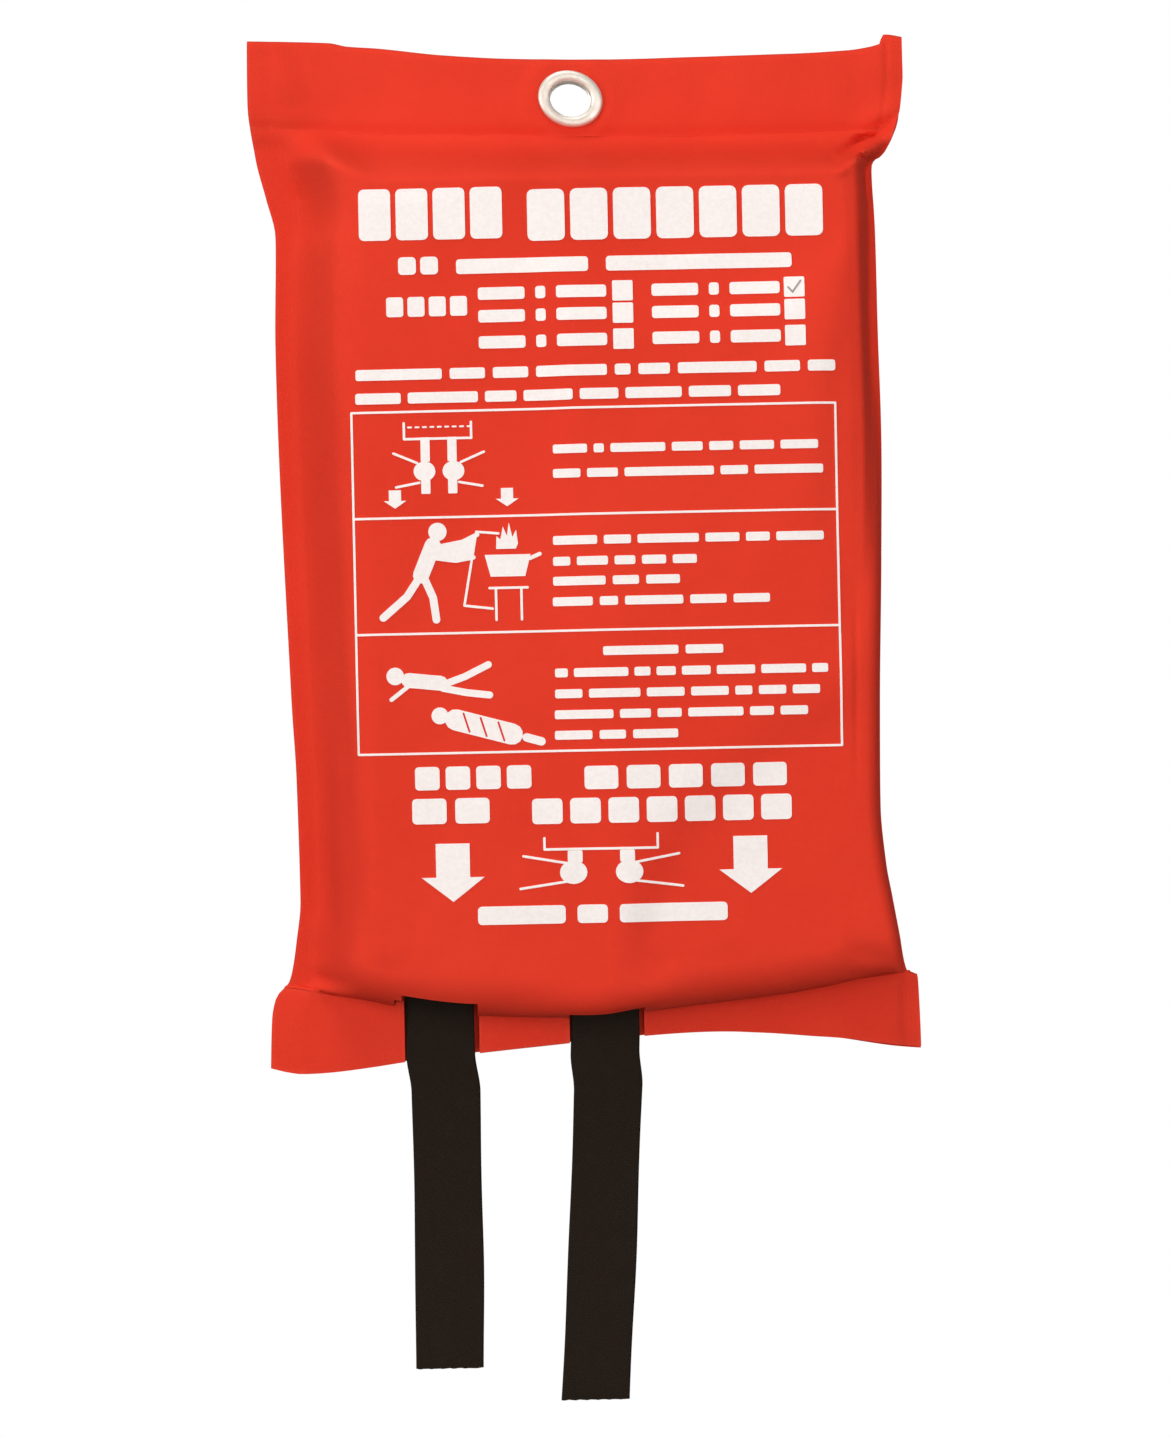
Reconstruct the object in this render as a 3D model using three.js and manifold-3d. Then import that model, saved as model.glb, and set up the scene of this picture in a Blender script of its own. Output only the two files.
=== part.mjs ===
// A fire blanket in its soft wall pouch: two sheets of red coated fabric joined along the sides and
// in a flat header with an eyelet, a folded glass-fibre blanket between them, a mouth at the bottom
// held by three hook-and-loop patches, and two webbing tapes that pull the blanket out.
//
// Millimetres, +Z up, +X to the right of a person who faces the pouch, -Y towards that person.
// The origin is the middle of the pouch's flat back, in the plane of the wall it hangs on.

import * as THREE from "three";
import { mergeVertices } from "three/addons/utils/BufferGeometryUtils.js";
import Module from "manifold-3d";

const { lerp, smoothstep, degToRad } = THREE.MathUtils;
const wasm = await Module();
wasm.setup();

// ---- Driving dimensions ----

const fabric = 0.7; // thickness of the coated fabric
const gap = 0.3; // air between neighbouring layers
const layer = fabric + gap; // pitch of stacked sheets

// Outline of the two sheets
const headerHalfWidth = 94.5;
const bodyHalfWidthTop = 87.5;
const bodyHalfWidthBottom = 84.5;
const footerHalfWidth = 94;
const headerCornerZ = 147.5; // top edge at its two ends
const headerSag = 5.5; // how far the top edge hangs down in the middle
const headerSeamZ = 119; // lower edge of the header
const headerFullZ = 131; // above this the outline has its full header width
const shoulderZ = 95; // below this the outline has its body width
const hipZ = -105; // below this the outline widens to the footer
const creaseZ = -127; // where the front sheet turns down into the footer
const hemMiddleZ = -145; // the lower edge is a shallow wave about this height
const hemWave = 4.8;
const hemCrestX = 36;
const hemHalfWave = 118;
const sideSeamWidth = 5.5;
const backStepLow = 11; // the back sheet steps forward between these heights below the header seam
const backStepHigh = 1;

// The folded blanket: a concertina of leaves, each leaf several plies of cloth
const leafCount = 8;
const leafThickness = 2.2;
const leafGap = 0.4;
const packHalfWidth = 75;
const packTopZ = 108;
const packBottomZ = -122;
const packTopTaper = 5; // the front leaf is this much shorter, because the pouch slopes there
const packRearY = -3.1;
const packFrontY = packRearY - leafCount * leafThickness - (leafCount - 1) * leafGap;

// The front sheet's bulge over the blanket
const bulgeFrontY = packFrontY - 1.3 - fabric / 2; // middle of the sheet
const bulgeHalfWidth = 77.5;
const bulgeCorner = 4;
const bulgeTopZ = 103; // the bulge has its full depth below this
const mouthZ = -121; // lower edge of the front sheet, where the mouth flap is joined

// The eyelet, a standard 12 mm one, and its washer
const eyeletX = -1.5;
const eyeletZ = 130.5;
const eyeletBore = 6;
const eyeletWall = 0.4;
const eyeletFlange = 9.5;
const eyeletDome = 1.3; // how far the front flange is domed
const eyeletRoll = 1.3; // reach of the barrel's rolled rear end
const washerOuter = 9.2;
const washerThickness = 0.6;
const washerChamfer = 0.4;
const fabricHole = eyeletBore + eyeletWall + 0.35;

// The mouth flap: floor of the pouch, then the footer's front layer in three tabs
const patchThickness = 0.9;
const patchWidth = 20;
const patchHeight = 9;
const patchTopZ = -129;
const loopPatchY = -fabric - gap - patchThickness / 2;
const hookPatchY = loopPatchY - patchThickness - gap;
const tabY = hookPatchY - patchThickness / 2 - gap - fabric / 2;
const floorHalfWidth = 74;
const flapFrontBend = 6;
const flapCreaseBend = 2;
const flapHingeGap = 0.6;

// The pull tapes
const tapeWidth = 20;
const tapeThickness = 1.2;
const sewnEndThickness = 1;
const notchWidth = tapeWidth + 2.5;
const notchClearance = 1.2; // how far a notch's cut reaches in front of the tape
const tapePivotZ = -151; // where a tape leaves the footer and starts to swing
const sewnEndTopZ = -82;
const sewnEndY = packRearY + gap + sewnEndThickness / 2;
const tapeY = sewnEndY - sewnEndThickness / 2 - gap - tapeThickness / 2;
const threadWidth = 0.7;
const threadThickness = 0.4;
const stitchLength = 4;
const stitchRise = 1; // the hem's zigzag stands this far up and down
const stitchInset = 3; // from the edge of what is sewn to its stitching
const hemStitchHeight = 9; // of the hem's stitching above the blanket's lower edge
const tapes = [
  { name: "left", x: -44.2, bottomZ: -236, tilt: 0 },
  { name: "right", x: 3.5, bottomZ: -245.5, tilt: degToRad(3.2) },
];
const patches = [
  { name: "left", x: -72 },
  { name: "middle", x: (tapes[0].x + tapes[1].x) / 2 },
  { name: "right", x: 56 },
];

// ---- Materials ----

const material = (color, roughness, metalness = 0) =>
  new THREE.MeshStandardMaterial({ color, roughness, metalness });
const redFabric = material(0xd6382a, 0.55);
const blackWebbing = material(0x241a15, 0.85);
const glassCloth = material(0xe9e6dc, 0.8);
const whiteThread = material(0xf2efe8, 0.7);
const blackThread = material(0x1c1512, 0.7);
const nickel = material(0xe4dfd6, 0.25, 1);
const hookAndLoop = material(0xb5281d, 0.95);

// ---- Outline and layers ----

// Half of the sheets' width at a height: wide header, narrower body, wide footer.
function halfWidthAt(z) {
  const body = lerp(bodyHalfWidthBottom, bodyHalfWidthTop, (z - hipZ) / (shoulderZ - hipZ));
  const upper = lerp(body, headerHalfWidth, smoothstep(z, shoulderZ, headerFullZ));
  return lerp(footerHalfWidth, upper, smoothstep(z, creaseZ, hipZ));
}

// The header's top edge, which sags between its ends.
const topEdgeAt = (x) => headerCornerZ - headerSag * (1 - (x / headerHalfWidth) ** 2);

// The footer's wavy lower edge.
const hemAt = (x) => hemMiddleZ + hemWave * Math.cos((Math.PI * (x - hemCrestX)) / hemHalfWave);

// The back sheet lies on the wall, and steps forward by one layer inside the folded header band.
const backSheetY = (z) =>
  -fabric / 2 - layer * smoothstep(z, headerSeamZ - backStepLow, headerSeamZ - backStepHigh);

// The share of the bulge's full depth that the front sheet has at a height.
const bulgeShare = (z) => 1 - smoothstep(z, bulgeTopZ, headerSeamZ);

// Equal steps from one value to another, without the last one.
const steps = (from, to, count) =>
  Array.from({ length: count }, (_, i) => lerp(from, to, i / count));

// ---- Solids ----

// A closed sheet of even thickness about a grid of points, given row by row.
function sheet(grid, thickness = fabric) {
  const rows = grid.length;
  const columns = grid[0].length;
  const clampedPoint = (i, j) =>
    grid[THREE.MathUtils.clamp(i, 0, rows - 1)][THREE.MathUtils.clamp(j, 0, columns - 1)];
  const positions = [];
  for (const side of [1, -1]) {
    for (let i = 0; i < rows; i++) {
      for (let j = 0; j < columns; j++) {
        const across = clampedPoint(i, j + 1).clone().sub(clampedPoint(i, j - 1));
        const along = clampedPoint(i + 1, j).clone().sub(clampedPoint(i - 1, j));
        const normal = across.cross(along).normalize();
        const point = grid[i][j].clone().addScaledVector(normal, (side * thickness) / 2);
        positions.push(point.x, point.y, point.z);
      }
    }
  }
  const near = (i, j) => i * columns + j;
  const far = (i, j) => near(i, j) + rows * columns;
  const indices = [];
  const quad = (a, b, c, d) => indices.push(a, b, c, a, c, d);
  for (let i = 0; i < rows - 1; i++) {
    for (let j = 0; j < columns - 1; j++) {
      quad(near(i, j), near(i, j + 1), near(i + 1, j + 1), near(i + 1, j));
      quad(far(i, j), far(i + 1, j), far(i + 1, j + 1), far(i, j + 1));
    }
  }
  for (let j = 0; j < columns - 1; j++) {
    quad(near(0, j), far(0, j), far(0, j + 1), near(0, j + 1));
    quad(near(rows - 1, j), near(rows - 1, j + 1), far(rows - 1, j + 1), far(rows - 1, j));
  }
  for (let i = 0; i < rows - 1; i++) {
    quad(near(i, 0), near(i + 1, 0), far(i + 1, 0), far(i, 0));
    quad(near(i, columns - 1), far(i, columns - 1), far(i + 1, columns - 1), near(i + 1, columns - 1));
  }
  const geometry = new THREE.BufferGeometry();
  geometry.setAttribute("position", new THREE.Float32BufferAttribute(positions, 3));
  geometry.setIndex(indices);
  return geometry;
}

// A closed mesh as a manifold-3d solid, and the other way round.
function toSolid(geometry) {
  const bare = geometry.clone();
  bare.deleteAttribute("normal");
  bare.deleteAttribute("uv");
  const merged = mergeVertices(bare, 1e-3);
  return new wasm.Manifold(
    new wasm.Mesh({
      numProp: 3,
      vertProperties: new Float32Array(merged.attributes.position.array),
      triVerts: new Uint32Array(merged.index.array),
    }),
  );
}

function toGeometry(solid) {
  const mesh = solid.getMesh();
  const geometry = new THREE.BufferGeometry();
  geometry.setAttribute("position", new THREE.BufferAttribute(mesh.vertProperties, 3));
  geometry.setIndex(new THREE.BufferAttribute(mesh.triVerts, 1));
  return geometry;
}

const cut = (geometry, tools) =>
  toGeometry(tools.reduce((solid, tool) => solid.subtract(toSolid(tool)), toSolid(geometry)));

// The hole that the eyelet's barrel passes through, as a cutting tool.
function eyeletHole() {
  const tool = new THREE.CylinderGeometry(fabricHole, fabricHole, 20, 32);
  return tool.translate(eyeletX, 0, eyeletZ);
}

// ---- Pouch ----

// The back sheet: flat on the wall from the footer's hem to just below the header's top fold.
function backPanel() {
  const heights = [
    ...steps(hemMiddleZ, hipZ, 6),
    ...steps(hipZ, shoulderZ, 3),
    ...steps(shoulderZ, headerFullZ, 9),
    headerFullZ,
    headerCornerZ,
  ];
  const grid = heights.map((height) => {
    const share = (height - hemMiddleZ) / (headerCornerZ - hemMiddleZ);
    return [...steps(-1, 1, 16), 1].map((side) => {
      const x = side * halfWidthAt(height);
      const z = lerp(hemAt(x), topEdgeAt(x) - 2 * layer, share);
      return new THREE.Vector3(x, backSheetY(z), z);
    });
  });
  return cut(sheet(grid), [eyeletHole()]);
}

// Half of the front sheet's cross-section at a height, from the centre line to the edge: a flat
// face, a rounded corner, a side wall and the flat side seam. Depth is measured from the seam.
function frontHalfSection(z) {
  const fullDepth = backSheetY(z) - layer - bulgeFrontY;
  const depth = fullDepth * bulgeShare(z);
  const edge = halfWidthAt(z);
  const corner = Math.min(bulgeCorner, depth / 2);
  const face = steps(0, 0.93 * bulgeHalfWidth, 3).map((x) => [x, depth]);
  const bend = [0, 30, 60, 90].map(degToRad).map((angle) => [
    bulgeHalfWidth - bulgeCorner * (1 - Math.sin(angle)),
    depth - corner * (1 - Math.cos(angle)),
  ]);
  return [...face, ...bend, [edge - sideSeamWidth, 0], [edge - sideSeamWidth / 2, 0], [edge, 0]];
}

// The front sheet: header, bulge over the blanket and side seams, down to the mouth.
function frontPanel() {
  const heights = [
    ...steps(mouthZ, hipZ, 4),
    ...steps(hipZ, bulgeTopZ, 3),
    ...steps(bulgeTopZ, headerSeamZ, 8),
    ...steps(headerSeamZ, headerFullZ, 2),
    headerFullZ,
    headerCornerZ,
  ];
  const grid = heights.map((height) => {
    const half = frontHalfSection(height);
    const mirrored = half.slice(1).reverse().map(([x, depth]) => [-x, depth]);
    const aboveSeam = Math.max(0, height - headerSeamZ) / (headerCornerZ - headerSeamZ);
    return [...mirrored, ...half].map(([x, depth]) => {
      const z = aboveSeam ? lerp(headerSeamZ, topEdgeAt(x) - 2 * layer, aboveSeam) : height;
      return new THREE.Vector3(x, backSheetY(z) - layer - depth, z);
    });
  });
  return cut(sheet(grid), [eyeletHole()]);
}

// A folded strip that wraps the top edges of both sheets and makes the header's two faces.
function headerBand() {
  const faceShares = [...steps(0, 1, 3), 1];
  const foldRadius = 1.5 * layer;
  const profile = [
    ...faceShares.map((share) => ({ y: -fabric / 2 - 3 * layer, share, rise: 0 })),
    ...[45, 90, 135].map(degToRad).map((angle) => ({
      y: -fabric / 2 - foldRadius * (1 + Math.cos(angle)),
      share: 1,
      rise: foldRadius * Math.sin(angle),
    })),
    ...faceShares.map((share) => ({ y: -fabric / 2, share: 1 - share, rise: 0 })),
  ];
  const grid = profile.map(({ y, share, rise }) =>
    [...steps(-1, 1, 14), 1].map((side) => {
      const x = side * halfWidthAt(lerp(headerSeamZ, headerFullZ, share));
      const foldZ = topEdgeAt(x) - foldRadius - fabric / 2;
      return new THREE.Vector3(x, y, lerp(headerSeamZ, foldZ, share) + rise);
    }),
  );
  return cut(sheet(grid), [eyeletHole()]);
}

// The eyelet: a domed front flange and a barrel that is rolled over the washer behind.
function eyelet() {
  const frontY = fabric / 2 + 3 * layer + fabric / 2 + gap; // distances forward of the wall plane
  const rollY = -gap - washerThickness - gap;
  const barrel = eyeletBore + eyeletWall;
  const profile = [
    [eyeletBore, frontY + 0.7 * eyeletDome],
    [eyeletBore + 0.5 * eyeletDome, frontY + eyeletDome],
    [eyeletFlange - 1.2 * eyeletDome, frontY + eyeletDome],
    [eyeletFlange - 0.4 * eyeletDome, frontY + 0.7 * eyeletDome],
    [eyeletFlange, frontY],
    [barrel, frontY],
    [barrel, rollY],
    [barrel + eyeletRoll, rollY],
    [barrel + eyeletRoll, rollY - 0.3 * eyeletRoll],
    [barrel + 0.3 * eyeletRoll, rollY - 0.5 * eyeletRoll],
    [eyeletBore, rollY - 0.2 * eyeletRoll],
    [eyeletBore, frontY + 0.7 * eyeletDome],
  ].map(([radius, forward]) => new THREE.Vector2(radius, -forward));
  return new THREE.LatheGeometry(profile, 32);
}

function eyeletWasher() {
  const inner = fabricHole;
  const profile = [
    [inner, gap],
    [washerOuter, gap],
    [washerOuter, gap + washerThickness / 2],
    [washerOuter - washerChamfer, gap + washerThickness],
    [inner, gap + washerThickness],
    [inner, gap],
  ].map(([radius, behind]) => new THREE.Vector2(radius, behind));
  return new THREE.LatheGeometry(profile, 32);
}

// ---- Mouth flap ----

// The front sheet's lower end: round the blanket's lower front edge, back along the floor of the
// pouch to the crease, and down as the footer. Two notches let the tapes hang out.
function mouthFlap() {
  const frontBendY = bulgeFrontY + flapFrontBend;
  const floorZ = mouthZ - flapHingeGap - flapFrontBend;
  const creaseBendY = tabY - flapCreaseBend;
  const bend = (centreY, centreZ, radius, from, to) =>
    [...steps(from, to, 3), to].map(degToRad).map((angle) => ({
      y: centreY + radius * Math.cos(angle),
      z: centreZ + radius * Math.sin(angle),
    }));
  const profile = [
    ...bend(frontBendY, floorZ + flapFrontBend, flapFrontBend, 180, 270),
    ...bend(creaseBendY, floorZ - flapCreaseBend, flapCreaseBend, 90, 0),
  ];
  const floorRows = profile.map(({ y, z }) =>
    flapStations(floorZ - z > 0 ? (floorZ - z) / flapCreaseBend : 0).map(
      (x) => new THREE.Vector3(x, y, z),
    ),
  );
  const footerTopZ = floorZ - flapCreaseBend;
  const footerRows = [0.3, 0.6, 1].map((share) =>
    flapStations(1).map((x) => new THREE.Vector3(x, tabY, lerp(footerTopZ, hemAt(x), share))),
  );
  const notchFrontY = tapeY - tapeThickness / 2 - notchClearance;
  const notchTopZ = creaseZ + 2;
  const notchBottomZ = hemMiddleZ - 4 * hemWave;
  const notches = tapes.map(({ x }) => {
    const box = new THREE.BoxGeometry(notchWidth, -notchFrontY, notchTopZ - notchBottomZ);
    return box.translate(x, notchFrontY / 2, (notchTopZ + notchBottomZ) / 2);
  });
  return cut(sheet([...floorRows, ...footerRows]), notches);
}

// Places across the flap, which widens from the floor (0) to the footer (1).
function flapStations(widening) {
  const half = lerp(floorHalfWidth, footerHalfWidth, widening);
  return [...steps(-half, half, 18), half];
}

// One half of a hook-and-loop patch pair.
function patch(x, y) {
  const box = new THREE.BoxGeometry(patchWidth, patchThickness, patchHeight);
  return box.translate(x, y, patchTopZ - patchHeight / 2);
}

// ---- Blanket and tapes ----

// The blanket folded to and fro: an even ribbon about a path of leaves joined by half turns.
function foldedBlanket() {
  const pitch = leafThickness + leafGap;
  const turnRadius = pitch / 2;
  const topTurnZ = (leaf) =>
    packTopZ - turnRadius - leafThickness / 2 - packTopTaper * (leaf / (leafCount - 1)) ** 2;
  const bottomTurnZ = packBottomZ + turnRadius + leafThickness / 2;
  const path = [];
  for (let leaf = 0; leaf < leafCount; leaf++) {
    const y = packRearY - leafThickness / 2 - leaf * pitch;
    const goesUp = leaf % 2 === 0;
    const turnZ = goesUp ? topTurnZ(leaf) : bottomTurnZ;
    const isFirst = leaf === 0;
    const isLast = leaf === leafCount - 1;
    if (isFirst) path.push({ y, z: packBottomZ, normal: [1, 0] });
    if (isLast) path.push({ y, z: packBottomZ, normal: [-1, 0] });
    if (isLast) break;
    for (const angle of [0, 36, 72, 108, 144, 180].map(degToRad)) {
      const rise = (goesUp ? 1 : -1) * Math.sin(angle);
      path.push({
        y: y - turnRadius + turnRadius * Math.cos(angle),
        z: turnZ + turnRadius * rise,
        normal: goesUp ? [Math.cos(angle), rise] : [-Math.cos(angle), -rise],
      });
    }
  }
  const offset = (side) =>
    path.map(({ y, z, normal }) => {
      const reach = (side * leafThickness) / 2;
      return new THREE.Vector2(y + reach * normal[0], z + reach * normal[1]);
    });
  const outline = new THREE.Shape([...offset(1), ...offset(-1).reverse()]);
  return acrossPouch(outline, -packHalfWidth, packHalfWidth);
}

// An outline drawn in Y and Z, extruded along X.
function acrossPouch(outline, fromX, toX) {
  const geometry = new THREE.ExtrudeGeometry(outline, { depth: toX - fromX, bevelEnabled: false });
  const turn = new THREE.Matrix4().makeBasis(
    new THREE.Vector3(0, 1, 0),
    new THREE.Vector3(0, 0, 1),
    new THREE.Vector3(1, 0, 0),
  );
  return geometry.applyMatrix4(turn).translate(fromX, 0, 0);
}

// An outline drawn in X and Z, extruded through a thickness about a middle plane at Y = 0.
function facingFront(outline, thickness) {
  const geometry = new THREE.ExtrudeGeometry(outline, { depth: thickness, bevelEnabled: false });
  return geometry.rotateX(Math.PI / 2).translate(0, thickness / 2, 0);
}

// The thread that hems the blanket's outer edge, in a zigzag across the front leaf.
function hemStitching() {
  const stitchCount = Math.round((2 * (packHalfWidth - stitchInset)) / stitchLength);
  const upper = [];
  const lower = [];
  for (let stitch = 0; stitch <= stitchCount; stitch++) {
    const x = (stitch - stitchCount / 2) * stitchLength;
    const z = stitch % 2 ? stitchRise : -stitchRise;
    upper.push(new THREE.Vector2(x, z + threadWidth / 2));
    lower.push(new THREE.Vector2(x, z - threadWidth / 2));
  }
  const outline = new THREE.Shape([...lower, ...upper.reverse()]);
  return facingFront(outline, threadThickness);
}

// A rectangle with both diagonals, sewn in one thread through a tape's end and the blanket.
function boxStitching(width, height) {
  const rectangle = (halfWidth, halfHeight) => [
    new THREE.Vector2(-halfWidth, -halfHeight),
    new THREE.Vector2(halfWidth, -halfHeight),
    new THREE.Vector2(halfWidth, halfHeight),
    new THREE.Vector2(-halfWidth, halfHeight),
  ];
  const outline = new THREE.Shape(rectangle(width / 2, height / 2));
  const corners = rectangle(width / 2 - threadWidth, height / 2 - threadWidth);
  corners.forEach((corner, i) => {
    const next = corners[(i + 1) % 4];
    const middle = corner.clone().add(next).multiplyScalar(1 / 3);
    const towardsMiddle = (point) => point.clone().lerp(middle, 0.1);
    const tip = middle.clone().multiplyScalar(0.25);
    outline.holes.push(new THREE.Path([towardsMiddle(corner), towardsMiddle(next), tip]));
  });
  return facingFront(outline, threadThickness);
}

// A tape's free end, drawn about its pivot: a round top that can turn, straight sides, a cut end.
function tapeTail(length) {
  const half = tapeWidth / 2;
  const outline = new THREE.Shape();
  outline.absarc(0, 0, half, 0, Math.PI, false);
  outline.lineTo(-half, -length);
  outline.lineTo(half, -length);
  return facingFront(outline, tapeThickness);
}

// ---- Assembly ----

const group = new THREE.Group();

function add(parent, name, geometry, finish) {
  const mesh = new THREE.Mesh(geometry, finish);
  mesh.name = name;
  geometry.computeVertexNormals();
  parent.add(mesh);
  return mesh;
}

const pouch = new THREE.Group();
group.add(pouch);
add(pouch, "back_panel", backPanel(), redFabric);
add(pouch, "front_panel", frontPanel(), redFabric);
add(pouch, "header_band", headerBand(), redFabric);
add(pouch, "eyelet", eyelet(), nickel).position.set(eyeletX, 0, eyeletZ);
add(pouch, "eyelet_washer", eyeletWasher(), nickel).position.set(eyeletX, 0, eyeletZ);

const flap = new THREE.Group();
group.add(flap);
add(flap, "mouth_flap", mouthFlap(), redFabric);
for (const { name, x } of patches) {
  add(pouch, `loop_patch_${name}`, patch(x, loopPatchY), hookAndLoop);
  add(flap, `hook_patch_${name}`, patch(x, hookPatchY), hookAndLoop);
}

const blanket = new THREE.Group();
group.add(blanket);
const hemThreadY = packFrontY - gap - threadThickness / 2;
add(blanket, "folded_blanket", foldedBlanket(), glassCloth);
add(blanket, "blanket_hem_stitching", hemStitching(), whiteThread).position.set(
  0,
  hemThreadY,
  packBottomZ + hemStitchHeight,
);

for (const { name, x, bottomZ, tilt } of tapes) {
  const sewnHeight = sewnEndTopZ - tapePivotZ;
  const sewnEnd = new THREE.BoxGeometry(tapeWidth, sewnEndThickness, sewnHeight);
  add(blanket, `${name}_tape_sewn_end`, sewnEnd, blackWebbing).position.set(
    x,
    sewnEndY,
    sewnEndTopZ - sewnHeight / 2,
  );
  const stitchHeight = sewnEndTopZ - packBottomZ - hemStitchHeight + threadWidth;
  add(blanket, `${name}_tape_stitching`, boxStitching(tapeWidth - 4, stitchHeight), blackThread)
    .position.set(
      x,
      sewnEndY + sewnEndThickness / 2 + gap + threadThickness / 2,
      sewnEndTopZ - stitchInset - stitchHeight / 2,
    );
  const swing = new THREE.Group();
  swing.position.set(x, tapeY, tapePivotZ);
  swing.rotation.y = tilt;
  blanket.add(swing);
  add(swing, `${name}_pull_tape`, tapeTail(tapePivotZ - bottomZ), blackWebbing);
}

export default group;
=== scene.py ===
import math
import random
from collections import Counter

import bmesh
import bpy
import numpy as np
from mathutils import Matrix, Vector
from mathutils.bvhtree import BVHTree
from mathutils.geometry import delaunay_2d_cdt


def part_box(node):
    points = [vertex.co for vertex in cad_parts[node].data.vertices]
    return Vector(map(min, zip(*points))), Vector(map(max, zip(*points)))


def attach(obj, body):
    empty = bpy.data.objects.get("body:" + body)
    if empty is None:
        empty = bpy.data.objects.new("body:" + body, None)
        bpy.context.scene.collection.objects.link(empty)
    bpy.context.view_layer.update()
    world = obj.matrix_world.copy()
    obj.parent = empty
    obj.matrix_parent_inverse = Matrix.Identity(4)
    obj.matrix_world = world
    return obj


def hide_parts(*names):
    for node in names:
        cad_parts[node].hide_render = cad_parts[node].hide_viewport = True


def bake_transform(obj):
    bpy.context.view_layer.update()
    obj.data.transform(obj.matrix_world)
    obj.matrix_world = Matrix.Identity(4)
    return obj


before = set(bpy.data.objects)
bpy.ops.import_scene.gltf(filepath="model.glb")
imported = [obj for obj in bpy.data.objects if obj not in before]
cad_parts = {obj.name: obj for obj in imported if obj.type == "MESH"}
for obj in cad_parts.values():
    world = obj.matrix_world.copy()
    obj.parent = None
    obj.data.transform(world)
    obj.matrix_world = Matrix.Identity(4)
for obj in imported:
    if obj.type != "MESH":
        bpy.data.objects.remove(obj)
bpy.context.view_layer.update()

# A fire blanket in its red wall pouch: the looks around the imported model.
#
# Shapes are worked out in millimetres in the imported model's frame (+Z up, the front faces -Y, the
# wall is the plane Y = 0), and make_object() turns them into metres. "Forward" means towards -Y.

MM = 0.001
scene = bpy.context.scene
draw = random.Random(7)


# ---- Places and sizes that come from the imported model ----

def low(node):
    """A CAD node's lowest corner in millimetres."""
    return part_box(node)[0] / MM


def high(node):
    """A CAD node's highest corner in millimetres."""
    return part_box(node)[1] / MM


def middle(node):
    """The middle of a CAD node's box in millimetres."""
    return (low(node) + high(node)) / 2


FABRIC = 0.7  # thickness of the coated fabric
BACK_Y = -FABRIC / 2  # middle of the back sheet
FLANGE_Y = BACK_Y - 1.0  # middle of the front sheet where it is welded to the back sheet
BAND_FRONT_Y = low("header_band").y + FABRIC / 2
TUCK_Y = BAND_FRONT_Y + 1.0  # the front sheet inside the header
BULGE_FRONT_Y = low("front_panel").y + FABRIC / 2
TAB_Y = low("hook_patch_middle").y - 0.3 - FABRIC / 2  # the footer's front layer
EYELET = middle("eyelet") - Vector((0, 0, 0.5))  # pressed slightly low in the soft header
EYELET_SQUASH = 0.85  # and out of round
EYELET_LEAN = math.radians(-20)  # with its long axis leaning down to the right
EYELET_RADIUS = (high("eyelet").x - low("eyelet").x) / 2
BORE_RADIUS = 6
PACK_LOW = low("folded_blanket")
PACK_HIGH = high("folded_blanket")
TAPE_WIDTH = high("left_pull_tape").x - low("left_pull_tape").x
NOTCH_HALF = TAPE_WIDTH / 2 + 0.8
CREASE_Z = -129.5  # where the mouth flap turns down into the footer
LEFT_ROUNDING = 12.5  # how far the pack's front left edge is rounded off
RIGHT_ROUNDING = 5.0
UPPER_ROUNDING = 7.0
LOWER_ROUNDING = 6.0

# lean: how far a tape leans aside. rise: rows of the sheet from the lower bend up to the notch.
# nick: how much wider the notch is on its left under the bulge.
TAPES = {
    "left": {"top_x": middle("left_tape_sewn_end").x, "lean": 0.0, "rise": 6, "nick": 2.2},
    "right": {"top_x": middle("right_tape_sewn_end").x, "lean": math.radians(3.2), "rise": 8, "nick": 0},
}


# ---- Curves ----

def smooth(*knots):
    """A smooth function through (place, value) knots that never overshoots them."""
    places, values = np.array(sorted(knots), float).T
    slopes = np.diff(values) / np.diff(places)
    tangents = np.zeros(len(places))
    tangents[0], tangents[-1] = slopes[0], slopes[-1]
    before, after = slopes[:-1], slopes[1:]
    turning = before * after > 0
    tangents[1:-1][turning] = (2 * before * after)[turning] / (before + after)[turning]

    def value_at(place):
        place = np.clip(place, places[0], places[-1])
        i = np.clip(np.searchsorted(places, place, side="right") - 1, 0, len(places) - 2)
        width = places[i + 1] - places[i]
        t = (place - places[i]) / width
        return (
            (1 + 2 * t) * (1 - t) ** 2 * values[i]
            + t * (1 - t) ** 2 * width * tangents[i]
            + t * t * (3 - 2 * t) * values[i + 1]
            + t * t * (t - 1) * width * tangents[i + 1]
        )

    return value_at


def ease(value, start, end):
    """0 at start, 1 at end, and smooth between."""
    t = np.clip((value - start) / (end - start), 0, 1)
    return t * t * (3 - 2 * t)


def lerp(a, b, t):
    return a + (b - a) * t


def bump(value, centre, width):
    """A soft hill of height 1."""
    return np.exp(-(((value - centre) / width) ** 2))


def ridge(x, z, start, end, width):
    """A soft ridge of height 1 along the line from start to end."""
    ax, az = start
    dx, dz = end[0] - ax, end[1] - az
    t = np.clip(((x - ax) * dx + (z - az) * dz) / (dx * dx + dz * dz), 0, 1)
    distance = np.hypot(x - ax - t * dx, z - az - t * dz)
    return np.exp(-((distance / width) ** 2)) * np.sin(np.pi * np.clip(t, 0.08, 0.92))


def ridges(x, z, *hills):
    """The sum of some ridges, each given as its height, start, end and width."""
    return sum(height * ridge(x, z, *line) for height, *line in hills)


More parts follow.
